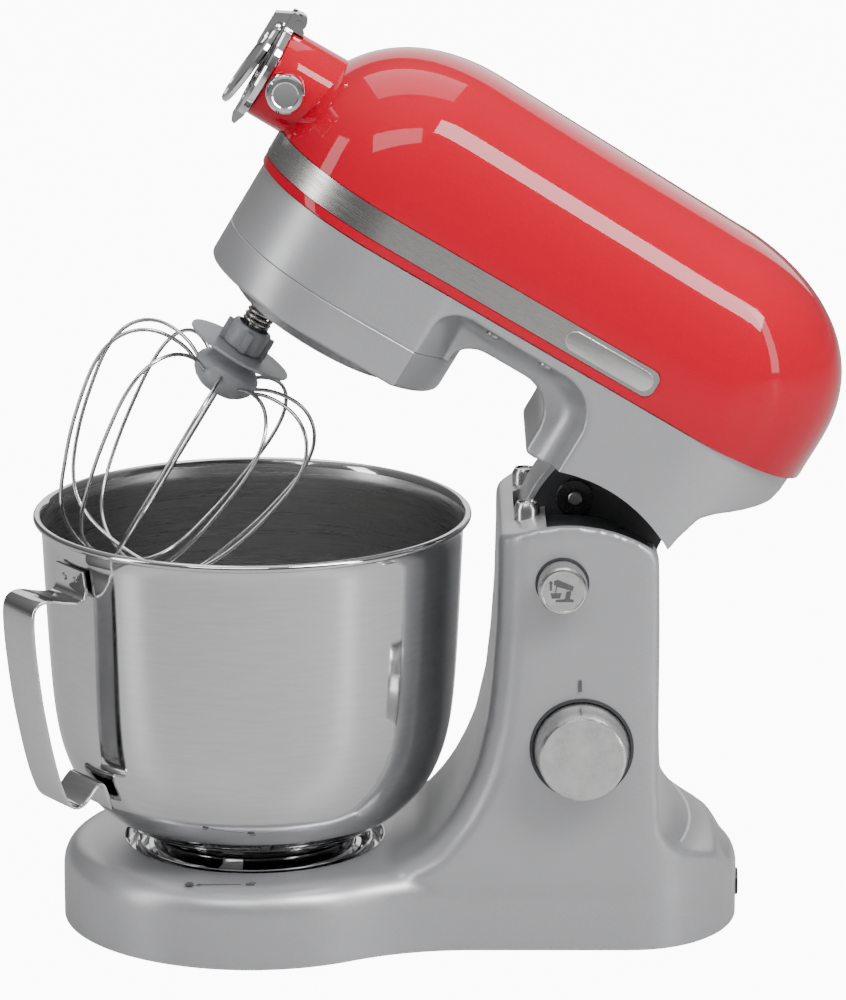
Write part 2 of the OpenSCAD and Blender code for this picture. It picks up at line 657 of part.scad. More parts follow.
// Round splash guard on the whisk
module splash_disc() color([0.62, 0.63, 0.65]) on_head() translate([beater_x, 0, 0]) difference() {
  union() {
    translate([0, 0, 177]) cylinder(r = 27.5, h = 1.6);
    translate([0, 0, 178.59]) cylinder(r1 = 26.5, r2 = 10.5, h = 0.4);
  }
  translate([0, 0, 170]) cylinder(r = 4.05, h = 60);
}

// Domed holder that grips the wires
module whisk_hub() color([0.62, 0.63, 0.65]) on_head() translate([beater_x, 0, 0]) difference() {
  rotate_extrude() polygon([[0, 153], [8, 153.6], [13.5, 156.5], [17, 161], [17, 166.5], [13.5, 171], [10, 174.5],
    [10, 177], [0, 177]]);
  translate([0, 0, 165.5]) cylinder(r = 4.05, h = 20);
}

// Half of one wire loop against height: [distance from the whisk's axis, z]
wire_half = [[17.7, 163.6], [25, 166.6], [36, 168], [46, 166], [54.5, 160], [59.6, 150], [60.6, 137], [58.2, 121],
  [54, 103], [48, 86], [41, 71], [32.5, 60], [20, 53], [7, 50.6]];

function ring_at(p, d, s) = let (n = [-d[1], d[0]])
  [for (k = [0:5]) let (a = k * 60) [p[0] + s * n[0] * cos(a), s * sin(a), p[1] + s * n[1] * cos(a)]];
function unit(v) = v / norm(v);

// One wire loop as a swept hexagonal tube
module wire_loop(rise) {
  half = [for (p = wire_half) [p[0], p[1] + rise * max(0, 90 - p[1]) / 40]];
  path = concat(half, [for (i = [len(half) - 1:-1:0]) [-half[i][0], half[i][1]]]);
  n = len(path);
  loft([for (i = [0:n - 1]) ring_at(path[i], unit(path[min(i + 1, n - 1)] - path[max(i - 1, 0)]), wire_r)]);
}

// Wire loops of the whisk, nested so that they cross below without touching
module whisk_wires() color([0.75, 0.75, 0.76]) on_head() translate([beater_x, 0, 0])
  for (i = [0:whisk_loops - 1]) rotate(i * 180 / whisk_loops + 12) wire_loop(2.4 * i);

// ---- bowl ----

// Outside of the bowl from the foot to the rim: [radius, z]
bowl_profile = [[0, 46], [44, 46], [56, 49], [68, 55], [79, 63], [88, 73], [94.5, 85], [98.5, 98], [100.8, 113],
  [102.4, 133], [103.6, 155], [104.8, 180], [106, 205]];

module bowl_shell() color([0.75, 0.75, 0.76]) rotate_extrude($fn = 96) {
  polygon(concat(bowl_profile, [[bowl_rim_r - 2, bowl_rim_z - 1.6], [bowl_rim_r, bowl_rim_z - 1.6],
    [bowl_rim_r, bowl_rim_z], [bowl_rim_r - 3.6, bowl_rim_z]],
    [for (i = [len(bowl_profile) - 1:-1:1]) [bowl_profile[i][0] - bowl_wall - (i > 1 ? 0 : 2),
      bowl_profile[i][1] + (i < 9 ? bowl_wall * 0.9 : 0)]], [[0, 46 + bowl_wall]]));
}

// Foot ring with three bayonet lugs
module bowl_foot() color([0.7, 0.7, 0.71]) difference() {
  union() {
    translate([0, 0, base_top - 5.4]) cylinder(r = 51, h = 8.2);
    translate([0, 0, base_top - 5.4]) cylinder(r = 54, h = 1.2);
    for (a = [0:120:240]) rotate(a + 18) translate([50, -6, base_top - 4]) cube([7.6, 12, 1.4]);
  }
  translate([0, 0, base_top - 8]) cylinder(r = 49.2, h = 20);
}

// Handle: one bent steel strip, welded to the wall at both ends
handle_path = [[107, 198], [106.4, 186], [113, 184.8], [128, 188], [144, 190], [151, 186], [152, 174], [148, 150],
  [141, 125], [133, 108], [124, 101], [115, 100], [104.5, 102], [100, 98.5], [95.9, 85.5]];
handle_w = 28;
handle_angle = 215;
module bowl_handle() color([0.78, 0.78, 0.79]) rotate([0, 0, handle_angle])
  slab_y(-handle_w / 2, handle_w / 2)
    offset(delta = 0.9) polygon(concat(handle_path, reversed([for (p = handle_path) p + [0.01, 0.01]])));

stand_housing();
rear_cover();
base_plate();
feet();
base_screws();
bowl_seat();
column_top_cover();
rest_studs();
hinge_frame();
hinge_pin();
hinge_spring();
power_inlet();
control_board();
speed_switch();
knob_bezel();
button_guide();
speed_knob();
release_button();
latch_lever();
head_cover();
trim_band();
badge();
lower_housing();
gearbox_cover();
hinge_lug();
lug_cap();
gear_frame();
ring_gear();
motor_stator();
motor_mount();
drive_belt();
hub_ring();
hub_sleeve();
housing_screws();
motor_rotor();
countershaft();
planet_carrier();
central_gear();
hub_drive();
hub_cover();
hub_cover_pin();
hub_knob();
whisk_spindle();
spindle_spring();
whisk_collar();
splash_disc();
whisk_hub();
whisk_wires();
bowl_shell();
bowl_foot();
bowl_handle();
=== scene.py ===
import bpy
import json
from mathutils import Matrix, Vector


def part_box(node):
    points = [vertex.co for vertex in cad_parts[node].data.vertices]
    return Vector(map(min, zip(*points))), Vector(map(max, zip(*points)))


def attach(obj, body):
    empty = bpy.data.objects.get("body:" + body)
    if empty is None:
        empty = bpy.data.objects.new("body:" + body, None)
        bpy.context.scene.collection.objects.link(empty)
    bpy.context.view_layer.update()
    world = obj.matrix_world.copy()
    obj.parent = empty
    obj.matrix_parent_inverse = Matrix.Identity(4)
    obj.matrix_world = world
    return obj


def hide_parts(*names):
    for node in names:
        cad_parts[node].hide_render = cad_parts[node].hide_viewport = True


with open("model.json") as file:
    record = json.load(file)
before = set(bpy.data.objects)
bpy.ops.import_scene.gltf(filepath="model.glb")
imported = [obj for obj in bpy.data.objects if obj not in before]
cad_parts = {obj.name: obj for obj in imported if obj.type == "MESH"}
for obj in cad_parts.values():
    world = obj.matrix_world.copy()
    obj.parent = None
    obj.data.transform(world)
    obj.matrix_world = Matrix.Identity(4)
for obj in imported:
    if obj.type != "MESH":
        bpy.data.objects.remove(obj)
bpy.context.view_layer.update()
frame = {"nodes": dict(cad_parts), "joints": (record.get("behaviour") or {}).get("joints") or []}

import json
import math
import bmesh
import bpy
from mathutils import Matrix, Vector

# ---- Studio ----
# The mixer stands on a pale floor under soft boxes, seen square to its side from
# a little above the table. The walls of the room are dim where steel mirrors them.

camera = bpy.data.objects.new("camera", bpy.data.cameras.new("camera"))
camera.location = (0.08552, -2.6, 0.89)
camera.rotation_euler = (math.radians(90 - 14.495), 0, 0)
camera.data.sensor_width = 36
camera.data.lens = 192.8
camera.data.clip_end = 50
bpy.context.scene.collection.objects.link(camera)
bpy.context.scene.camera = camera


def soft_box(name, place, aim, width, height, power, along=(1, 0, 0)):
    """A rectangular studio light that faces a point, its width turned along a direction."""
    light = bpy.data.lights.new(name, "AREA")
    light.shape = "RECTANGLE"
    light.size, light.size_y = width, height
    light.energy = power
    lamp = bpy.data.objects.new(name, light)
    lamp.location = place
    back = (Vector(place) - Vector(aim)).normalized()
    across = (Vector(along) - back * back.dot(Vector(along))).normalized()
    lamp.rotation_euler = Matrix((across, back.cross(across), back)).transposed().to_euler()
    bpy.context.scene.collection.objects.link(lamp)


soft_box("key", (0.8, -0.8, 1.2), (0.15, -0.06, 0.38), 0.8, 0.36, 21, (0.86, 0, -0.51))
soft_box("front", (-0.4, -1.7, 1.9), (0.1, 0, 0.25), 1.5, 0.6, 18)
soft_box("fill", (1.7, -1.2, 0.9), (0.1, 0, 0.2), 1.6, 0.3, 11, (0, 0, 1))
soft_box("left_strip", (-1.7, -0.7, 0.8), (0, 0, 0.2), 1.6, 0.4, 13, (0, 0, 1))
soft_box("overhead", (0.1, 0.5, 2.1), (0.1, 0, 0.2), 1.6, 1.2, 20)
soft_box("back_wall", (0.2, 2.2, 1.1), (0.1, 0, 0.2), 2.4, 1.4, 14)

world = bpy.data.worlds.new("room")
bpy.context.scene.world = world
world.use_nodes = True
room = world.node_tree
room.nodes.clear()
heading = room.nodes.new("ShaderNodeTexCoord")
split = room.nodes.new("ShaderNodeSeparateXYZ")
room.links.new(heading.outputs["Generated"], split.inputs[0])
walls = room.nodes.new("ShaderNodeValToRGB")
for at, tone in ((0.0, 0.5), (0.4, 0.5), (0.49, 0.3), (0.53, 0.16), (0.62, 0.2), (0.8, 0.34), (1.0, 0.45)):
    stop = walls.color_ramp.elements.new(at)
    stop.color = (tone, tone, tone, 1)
walls.color_ramp.elements.remove(walls.color_ramp.elements[0])
lift_up = room.nodes.new("ShaderNodeMapRange")
lift_up.inputs["From Min"].default_value = -1
room.links.new(split.outputs["Z"], lift_up.inputs["Value"])
room.links.new(lift_up.outputs["Result"], walls.inputs["Fac"])
dim = room.nodes.new("ShaderNodeBackground")
dim.inputs["Strength"].default_value = 0.75
room.links.new(walls.outputs["Color"], dim.inputs["Color"])


def brighten_for_camera(tree, usual, kind, strength, share, end):
    """Mixes a white glow into a surface for rays that come straight from the camera."""
    ray = tree.nodes.new("ShaderNodeLightPath")
    part = tree.nodes.new("ShaderNodeMath")
    part.operation = "MULTIPLY"
    part.inputs[1].default_value = share
    tree.links.new(ray.outputs["Is Camera Ray"], part.inputs[0])
    glow = tree.nodes.new(kind)
    glow.inputs["Strength"].default_value = strength
    blend = tree.nodes.new("ShaderNodeMixShader")
    tree.links.new(part.outputs[0], blend.inputs["Fac"])
    tree.links.new(usual.outputs[0], blend.inputs[1])
    tree.links.new(glow.outputs[0], blend.inputs[2])
    tree.links.new(blend.outputs[0], end.inputs["Surface"])


brighten_for_camera(room, dim, "ShaderNodeBackground", 16, 1, room.nodes.new("ShaderNodeOutputWorld"))

sweep = bmesh.new()
bmesh.ops.create_grid(sweep, x_segments=1, y_segments=1, size=6)
floor_mesh = bpy.data.meshes.new("floor")
sweep.to_mesh(floor_mesh)
sweep.free()
floor = bpy.data.objects.new("floor", floor_mesh)
bpy.context.scene.collection.objects.link(floor)
paper = bpy.data.materials.new("white_paper")
paper.use_nodes = True
matt = paper.node_tree.nodes["Principled BSDF"]
matt.inputs["Base Color"].default_value = (0.5, 0.5, 0.5, 1)
matt.inputs["Roughness"].default_value = 0.42
brighten_for_camera(paper.node_tree, matt, "ShaderNodeEmission", 14, 0.8,
                    paper.node_tree.nodes["Material Output"])
floor_mesh.materials.append(paper)


# ---- Stand casting ----
# One die-cast aluminium shell is both the base and the column. It is painted satin
# silver, open below, and cut open at the top and at the back for the head's hinge.

joints = {joint["name"]: joint for joint in frame["joints"]}
hinge = Vector(joints["head_tilt"]["pos_m"]) * 1000
spin_axis = Vector(joints["planet_spin"]["axis"])
head_lean = math.atan2(spin_axis.x, spin_axis.z)
raise_head = Matrix.Translation(hinge) @ Matrix.Rotation(head_lean, 4, "Y") @ Matrix.Translation(-hinge)


def shape_to_object(bm, name, material, angle=None, on_head=False):
    """Makes an object in metres from a bmesh in millimetres; smooth but for edges over the angle."""
    if on_head:
        bmesh.ops.transform(bm, matrix=raise_head, verts=bm.verts)
    bmesh.ops.scale(bm, vec=(0.001, 0.001, 0.001), verts=bm.verts)
    mesh = bpy.data.meshes.new(name)
    bm.to_mesh(mesh)
    bm.free()
    if angle is not None:
        for face in mesh.polygons:
            face.use_smooth = True
        mesh.set_sharp_from_angle(angle=math.radians(angle))
    mesh.materials.append(material)
    piece = bpy.data.objects.new(name, mesh)
    bpy.context.scene.collection.objects.link(piece)
    return piece


def ring_edges(ring):
    """The edges between neighbours of a closed ring of vertices."""
    pairs = {frozenset((ring[i - 1], ring[i])) for i in range(len(ring))}
    return list({e for v in ring for e in v.link_edges if frozenset(e.verts) in pairs})


def next_ring(bm, ring, places):
    """Extrudes a closed ring of vertices to new places and returns the new ring."""
    grown = bmesh.ops.extrude_edge_only(bm, edges=ring_edges(ring))["geom"]
    fresh = {v for v in grown if isinstance(v, bmesh.types.BMVert)}
    ring = [next(e.other_vert(v) for e in v.link_edges if e.other_vert(v) in fresh) for v in ring]
    for vert, place in zip(ring, places):
        vert.co = place
    return ring


def stack_of_rings(rings):
    """A closed skin through rings of places."""
    bm = bmesh.new()
    ring = [bm.verts.new(place) for place in rings[0]]
    for i in range(len(ring)):
        bm.edges.new((ring[i - 1], ring[i]))
    bmesh.ops.contextual_create(bm, geom=ring_edges(ring))
    for places in rings[1:]:
        ring = next_ring(bm, ring, places)
    bmesh.ops.contextual_create(bm, geom=ring_edges(ring))
    bmesh.ops.recalc_face_normals(bm, faces=bm.faces)
    return bm


def arc_points(cx, cy, rx, ry, start, stop, count):
    """Points on an arc, from start to stop degrees."""
    turns = [math.radians(start + (stop - start) * i / count) for i in range(count + 1)]
    return [(cx + rx * math.cos(t), cy + ry * math.sin(t)) for t in turns]


def both_sides(half):
    """Closes a half outline drawn at positive Y with its mirror image."""
    return half + [(x, -y) for x, y in reversed(half)]


def slab(outline, y0, y1):
    """A closed plate between two Y values from an outline in X and Z."""
    return stack_of_rings([[(x, y, z) for x, z in outline] for y in (y0, y1)])


def upright(outline, z0, z1):
    """A closed prism between two heights from an outline in plan."""
    return stack_of_rings([[(x, y, z) for x, y in outline] for z in (z0, z1)])


def graded(plan, levels):
    """A closed solid whose plan follows a value that changes with height."""
    return stack_of_rings([[(x, y, z) for x, y in plan(value)] for z, value in levels])


TO_AXIS = {"X": Matrix.Rotation(-math.pi / 2, 4, "Y"), "Y": Matrix.Rotation(math.pi / 2, 4, "X"),
           "Z": Matrix.Identity(4)}


def rod(axis, centre, radius, start, stop, sides=96):
    """A plain closed cylinder along an axis, between two values on it."""
    bm = bmesh.new()
    bmesh.ops.create_cone(bm, cap_ends=True, segments=sides, radius1=radius, radius2=radius,
                          depth=stop - start)
    middle = Vector(centre)
    middle["XYZ".index(axis)] = (start + stop) / 2
    bmesh.ops.transform(bm, matrix=Matrix.Translation(middle) @ TO_AXIS[axis], verts=bm.verts)
    return bm


def block(low, high):
    """A plain box between two corners."""
    bm = bmesh.new()
    bmesh.ops.create_cube(bm, size=1)
    low, high = Vector(low), Vector(high)
    bmesh.ops.scale(bm, vec=high - low, verts=bm.verts)
    bmesh.ops.translate(bm, vec=(low + high) / 2, verts=bm.verts)
    return bm


def temporary(bm):
    """A throwaway object, in millimetres, for a modifier to use."""
    mesh = bpy.data.meshes.new("temporary")
    bm.to_mesh(mesh)
    bm.free()
    piece = bpy.data.objects.new("temporary", mesh)
    bpy.context.scene.collection.objects.link(piece)
    return piece


def with_modifiers(piece, others=()):
    """Applies a throwaway object's modifiers and returns the result as a bmesh."""
    evaluated = piece.evaluated_get(bpy.context.evaluated_depsgraph_get())
    bm = bmesh.new()
    bm.from_mesh(evaluated.to_mesh())
    evaluated.to_mesh_clear()
    for extra in (piece, *others):
        mesh = extra.data
        bpy.data.objects.remove(extra)
        bpy.data.meshes.remove(mesh)
    return bm


def combine(body, tools, operation="DIFFERENCE"):
    """Cuts the tools out of a closed body, or adds them to it."""
    for tool in tools:
        main, cutter = temporary(body), temporary(tool)
        change = main.modifiers.new("change", "BOOLEAN")
        change.operation = operation
        change.solver = "MANIFOLD"
        change.object = cutter
        body = with_modifiers(main, (cutter,))
    return body


def melt(body, voxel, passes):
    """Turns joined solids into one casting whose inner and outer corners are rounded."""
    lump = temporary(body)
    remesh = lump.modifiers.new("remesh", "REMESH")
    remesh.mode = "VOXEL"
    remesh.voxel_size = voxel
    soften = lump.modifiers.new("soften", "SMOOTH")
    soften.factor = 0.5
    soften.iterations = passes
    return with_modifiers(lump)


FOOT_LIFT = 3
BASE_TOP = 43
BASE_R = -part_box("stand_housing")[0].x * 1000
BASE_W = 67.5
TAIL_X, TAIL_L = 190, 55
NECK_X = 110
neck_r = (NECK_X ** 2 + BASE_W ** 2 - BASE_R ** 2) / (2 * (BASE_R - BASE_W))
neck_turn = math.degrees(math.atan2(BASE_W + neck_r, NECK_X))


def base_outline(inset):
    """Plan of the base: a round front, a waist and a half-oval tail."""
    half = arc_points(TAIL_X, 0, TAIL_L - inset, BASE_W - inset, 2, 90, 22)
    half += arc_points(NECK_X, BASE_W + neck_r, neck_r + inset, neck_r + inset, 270, 180 + neck_turn, 18)
    half += arc_points(0, 0, BASE_R - inset, BASE_R - inset, neck_turn + 3, 178.5, 40)
    return both_sides(half)


# Height, front, back at the sides and bulge of the back
COLUMN = [(30, 52, 236, 6), (38, 60, 233, 6), (43, 67.5, 229, 7), (46, 74.5, 226, 8), (50, 82, 215.5, 11.5),
          (55, 88.6, 207.4, 13), (63, 95.6, 203.6, 8.5), (72, 101.8, 202.4, 4.2), (83, 107.5, 202.1, 2.4),
          (95, 112.4, 202, 1.7), (118, 117.6, 202, 1.5), (140, 120, 202, 1.5), (166, 121.8, 202, 1.4),
          (197, 122.6, 201.6, 1.2), (226, 122.6, 201, 1)]


def column_outline(front, back, bulge, inset):
    """Plan of the column: 20 mm corners in front, nearly square ones behind."""
    wide = BASE_W - 0.1 - inset
    across = [(wide - 2) * i / 8 for i in range(1, 8)]
    half = [(back - inset + bulge * (1 - (y / wide) ** 2), y) for y in across]
    half += arc_points(back - inset - 2, wide - 2, 2, 2, 0, 90, 5)
    half += [(back - 4 - (back - front - 28) * i / 16, wide) for i in range(1, 16)]
    half += arc_points(front + inset + 20, wide - 20, 20, 20, 90, 180, 12)
    half += [(front + inset, (wide - 20) * (1 - i / 6)) for i in range(1, 6)]
    return both_sides(half)


def column(inset):
    """The column as a solid, drawn in by a wall."""
    return graded(lambda level: column_outline(*level, inset), [(z, level) for z, *level in COLUMN])


ARC_X, ARC_Z, ARC_R = 156.9, 144.3, 77
crown_start = math.degrees(math.atan2(216.8 - ARC_Z, 130.8 - ARC_X))
crown = [(40, 20), (104, 180), (113, 199), (118, 208), (123.2, 213.8)]
crown += arc_points(ARC_X, ARC_Z, ARC_R, ARC_R, crown_start, 57, 40)
crown += [(203.6, 200), (206, 186), (260, 150), (260, 20)]

edge_levels = [(-12, 0), (30, 0), (33.5, 0.5), (36.5, 1.7), (39, 3.6), (41, 6), (42.3, 9), (BASE_TOP, 13)]
tower = combine(column(0), [slab(crown, -90, 90), upright(base_outline(1), 0, 260)], "INTERSECT")
casting = combine(graded(base_outline, edge_levels), [tower], "UNION")
casting = melt(casting, 1.7, 14)

inside_top = [(20, 30), (132, 30), (132, 211), (146, 215), (146, 250), (260, 250), (260, 30)]
hollow = combine(column(3), [slab(inside_top, -90, 90), upright(base_outline(4.5), 0, 260)], "INTERSECT")
slot_front = hinge.x - 66.7
slot = [(slot_front, 150), (slot_front, 200), (slot_front + 2.2, 240), (230, 240), (230, 188), (190, 150)]
KNOB = Vector((164, 0, 108))
BUTTON = Vector((153.9, 0, 192.6))
casting = combine(casting, [
    upright(base_outline(-9), -30, FOOT_LIFT),
    graded(base_outline, [(-1, 3), (28, 3), (36, 8), (39.6, 14)]),
    hollow,
    slab(slot, -22, 22),
    block((190, -50, 54), (232, 50, 230)),
    rod("Z", (0, 0, 0), 66.2, BASE_TOP - 5, 60, 160),
    rod("Y", KNOB, 25.8, -90, -50),
    rod("Y", BUTTON, 13.3, -90, -50),
    rod("X", (0, 0, 17), 7, 225, 270),
    block((162, -90, 137.4), (164, -66.6, 143.4)),
])
bmesh.ops.dissolve_degenerate(casting, dist=0.01, edges=casting.edges)


def new_group(name, inputs, outputs):
    """An empty node group with named sockets; returns it with its two ends."""
    tree = bpy.data.node_groups.new(name, "ShaderNodeTree")
    for label, kind, value in inputs:
        socket = tree.interface.new_socket(label, in_out="INPUT", socket_type=kind)
        if value is not None:
            socket.default_value = value
    for label, kind in outputs:
        tree.interface.new_socket(label, in_out="OUTPUT", socket_type=kind)
    return tree, tree.nodes.new("NodeGroupInput"), tree.nodes.new("NodeGroupOutput")


def noise(tree, vector, scale, detail, rough):
    """A noise texture node fed by a vector socket."""
    node = tree.nodes.new("ShaderNodeTexNoise")
    node.inputs["Scale"].default_value = scale
    node.inputs["Detail"].default_value = detail
    node.inputs["Roughness"].default_value = rough
    tree.links.new(vector, node.inputs["Vector"])
    return node.outputs["Fac"]


def spread(tree, value, low, high, start, stop):
    """Maps start to stop onto a range whose ends may be sockets or numbers."""
    node = tree.nodes.new("ShaderNodeMapRange")
    node.inputs["From Min"].default_value = start
    node.inputs["From Max"].default_value = stop
    for label, end in (("To Min", low), ("To Max", high)):
        if isinstance(end, bpy.types.NodeSocket):
            tree.links.new(end, node.inputs[label])
        else:
            node.inputs[label].default_value = end
    tree.links.new(value, node.inputs["Value"])
    return node.outputs["Result"]


def two_tones(tree, value, low, high, start, end):
    """Mixes a group's colour and shade by a texture's value."""
    mix = tree.nodes.new("ShaderNodeMix")
    mix.data_type = "RGBA"
    tree.links.new(spread(tree, value, 0.0, 1.0, low, high), mix.inputs["Factor"])
    tree.links.new(start.outputs["Colour"], mix.inputs[6])
    tree.links.new(start.outputs["Shade"], mix.inputs[7])
    tree.links.new(mix.outputs[2], end.inputs["Colour"])


# Faint handling marks: slow patches that change how rough a finish is
marks, marks_in, marks_out = new_group(
    "handling_marks",
    [("Vector", "NodeSocketVector", None), ("Low", "NodeSocketFloat", 0.3), ("High", "NodeSocketFloat", 0.4)],
    [("Roughness", "NodeSocketFloat")])
patches = noise(marks, marks_in.outputs["Vector"], 18, 4, 0.6)
marks.links.new(spread(marks, patches, marks_in.outputs["Low"], marks_in.outputs["High"], 0.3, 0.7),
                marks_out.inputs["Roughness"])

# Fine relief of paint, castings and moulded plastic, and the tone that goes with it
relief, relief_in, relief_out = new_group(
    "fine_relief",
    [("Vector", "NodeSocketVector", None), ("Colour", "NodeSocketColor", (0.5, 0.5, 0.5, 1)),
     ("Shade", "NodeSocketColor", (0.4, 0.4, 0.4, 1)), ("Scale", "NodeSocketFloat", 900.0)],
    [("Colour", "NodeSocketColor"), ("Height", "NodeSocketFloat")])
grit = relief.nodes.new("ShaderNodeTexNoise")
grit.inputs["Detail"].default_value = 3
relief.links.new(relief_in.outputs["Vector"], grit.inputs["Vector"])
relief.links.new(relief_in.outputs["Scale"], grit.inputs["Scale"])
two_tones(relief, grit.outputs["Fac"], 0.35, 0.65, relief_in, relief_out)
relief.links.new(grit.outputs["Fac"], relief_out.inputs["Height"])


def new_finish(name, **sockets):
    """A material with its Principled sockets set; returns it with its tree and shader."""
    material = bpy.data.materials.new(name)
    material.use_nodes = True
    shader = material.node_tree.nodes["Principled BSDF"]
    for label, value in sockets.items():
        shader.inputs[label.replace("_", " ")].default_value = value
    return material, material.node_tree, shader


def add_group(tree, group, vector, **values):
    """Places a node group in a material and feeds it a vector."""
    node = tree.nodes.new("ShaderNodeGroup")
    node.node_tree = group
    tree.links.new(vector, node.inputs["Vector"])
    for label, value in values.items():
        node.inputs[label].default_value = value
    return node


def add_bump(tree, height, shader, strength, distance):
    """Feeds a height through a Bump node to the shader's normal."""
    node = tree.nodes.new("ShaderNodeBump")
    node.inputs["Strength"].default_value = strength
    node.inputs["Distance"].default_value = distance
    tree.links.new(height, node.inputs["Height"])
    tree.links.new(node.outputs["Normal"], shader.inputs["Normal"])


def object_space(tree, stretch=None, turn=(0, 0, 0)):
    """Object coordinates, stretched and turned where a pattern needs it."""
    source = tree.nodes.new("ShaderNodeTexCoord").outputs["Object"]
    if stretch is None:
        return source
    turned_to = tree.nodes.new("ShaderNodeMapping")
    turned_to.inputs["Rotation"].default_value = turn
    tree.links.new(source, turned_to.inputs["Vector"])
    scale = tree.nodes.new("ShaderNodeMapping")
    scale.inputs["Scale"].default_value = stretch
    tree.links.new(turned_to.outputs["Vector"], scale.inputs["Vector"])
    return scale.outputs["Vector"]


def painted(name, colour, shadow, metallic, low, high, scale, bump, **sockets):
    """Paint or moulded plastic: fine relief, toned colour and handling marks."""
    material, tree, shader = new_finish(name, Metallic=metallic, **sockets)
    place = object_space(tree)
    fine = add_group(tree, relief, place, Colour=(*colour, 1), Shade=(*shadow, 1), Scale=scale)
    worn = add_group(tree, marks, place, Low=low, High=high)
    tree.links.new(fine.outputs["Colour"], shader.inputs["Base Color"])
    tree.links.new(worn.outputs["Roughness"], shader.inputs["Roughness"])
    add_bump(tree, fine.outputs["Height"], shader, bump, 0.0002)
    return material


silver = painted("silver_paint", (0.46, 0.462, 0.475), (0.39, 0.392, 0.405), 0.55, 0.32, 0.38, 2600, 0.06)
housing = shape_to_object(casting, "stand_casting", silver, 32)
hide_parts("stand_housing")
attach(housing, "stand")
dark_plastic = painted("dark_plastic", (0.045, 0.046, 0.05), (0.03, 0.031, 0.034), 0.0, 0.42, 0.5, 1500, 0.16)


# ---- Rear cover ----
# A thin pressed panel closes the back of the column. It bulges a little and flares
# out at its foot to meet the base's rounded tail.

# Height, X at the panel's sides and X at its middle
REAR = [(186, 202.2, 203.3), (166, 202.5, 204), (140, 202.5, 204.1), (110, 202.6, 204.2),
        (90, 202.7, 204.9), (80, 203.1, 205.6), (72, 204.2, 207.1), (66, 206, 210), (60, 209.2, 214.4),
        (54.5, 213, 220.2), (53.8, 211, 218)]


def rear_ring(z, side, middle, inset):
    """One level of the panel: its bulged outside and then its inside."""
    across = [-49.6 + 99.2 * i / 16 for i in range(17)]
    outer = [(side + (middle - side) * (1 - (y / 50) ** 2), y, z) for y in across]
    return outer + [(x - inset, y, z) for x, y, _ in reversed(outer)]


panel = stack_of_rings([rear_ring(*level, 2.2) for level in reversed(REAR)])
panel = shape_to_object(panel, "rear_panel", silver, 30)
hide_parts("rear_cover")
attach(panel, "stand")


# ---- Base plate, feet and screws ----
# A moulded plate closes the base from below. Rubber feet are pressed into it and
# zinc-plated screws hold it to the casting.

# Brushed or spun grain: noise that is drawn out along the two slow directions
grain, grain_in, grain_out = new_group(
    "drawn_grain",
    [("Vector", "NodeSocketVector", None), ("Colour", "NodeSocketColor", (0.6, 0.6, 0.6, 1)),
     ("Shade", "NodeSocketColor", (0.5, 0.5, 0.5, 1)), ("Low", "NodeSocketFloat", 0.2),
     ("High", "NodeSocketFloat", 0.35)],
    [("Colour", "NodeSocketColor"), ("Roughness", "NodeSocketFloat"), ("Height", "NodeSocketFloat")])
lines = noise(grain, grain_in.outputs["Vector"], 1.0, 3, 0.65)
two_tones(grain, lines, 0.3, 0.7, grain_in, grain_out)
grain.links.new(spread(grain, lines, grain_in.outputs["Low"], grain_in.outputs["High"], 0.3, 0.7),
                grain_out.inputs["Roughness"])
grain.links.new(lines, grain_out.inputs["Height"])


def ground(name, colour, shadow, low, high, stretch, bump=0.08, turn=(0, 0, 0), **sockets):
    """Bare metal with a drawn grain: the vector is stretched least along the grain."""
    material, tree, shader = new_finish(name, Metallic=1.0, **sockets)
    place = object_space(tree, stretch, turn)
    drawn = add_group(tree, grain, place, Colour=(*colour, 1), Shade=(*shadow, 1), Low=low, High=high)
    tree.links.new(drawn.outputs["Colour"], shader.inputs["Base Color"])
    tree.links.new(drawn.outputs["Roughness"], shader.inputs["Roughness"])
    add_bump(tree, drawn.outputs["Height"], shader, bump, 0.0001)
    return material


def coat(material, *nodes):
    """Gives CAD pieces a finish."""
    for node in nodes:
        piece = frame["nodes"][node]
        piece.data.materials.clear()
        piece.data.materials.append(material)


rubber = painted("foot_rubber", (0.02, 0.02, 0.02), (0.012, 0.012, 0.012), 0.0, 0.62, 0.72, 1200, 0.2)
zinc = ground("zinc_plate", (0.5, 0.5, 0.49), (0.4, 0.4, 0.4), 0.28, 0.42, (700, 700, 700))
coat(dark_plastic, "base_plate")
coat(rubber, "feet")
coat(zinc, "base_screws")


# ---- Bowl seat ----
# A stainless dish is pressed into the base. Its raised ring has slots for the three
# lugs of the bowl's foot.


def lathe(profile, steps=128, axis="Z", centre=(0, 0, 0)):
    """Spins an outline of radius and height about an axis."""
    bm = bmesh.new()
    verts = [bm.verts.new((r, 0, h)) for r, h in profile]
    edges = [bm.edges.new(pair) for pair in zip(verts, verts[1:])]
    bmesh.ops.spin(bm, geom=verts + edges, cent=(0, 0, 0), axis=(0, 0, 1), dvec=(0, 0, 0),
                   angle=math.tau, steps=steps, use_merge=True)
    bmesh.ops.remove_doubles(bm, verts=bm.verts, dist=0.0005)
    bmesh.ops.recalc_face_normals(bm, faces=bm.faces)
    bmesh.ops.transform(bm, matrix=Matrix.Translation(centre) @ TO_AXIS[axis], verts=bm.verts)
    return bm


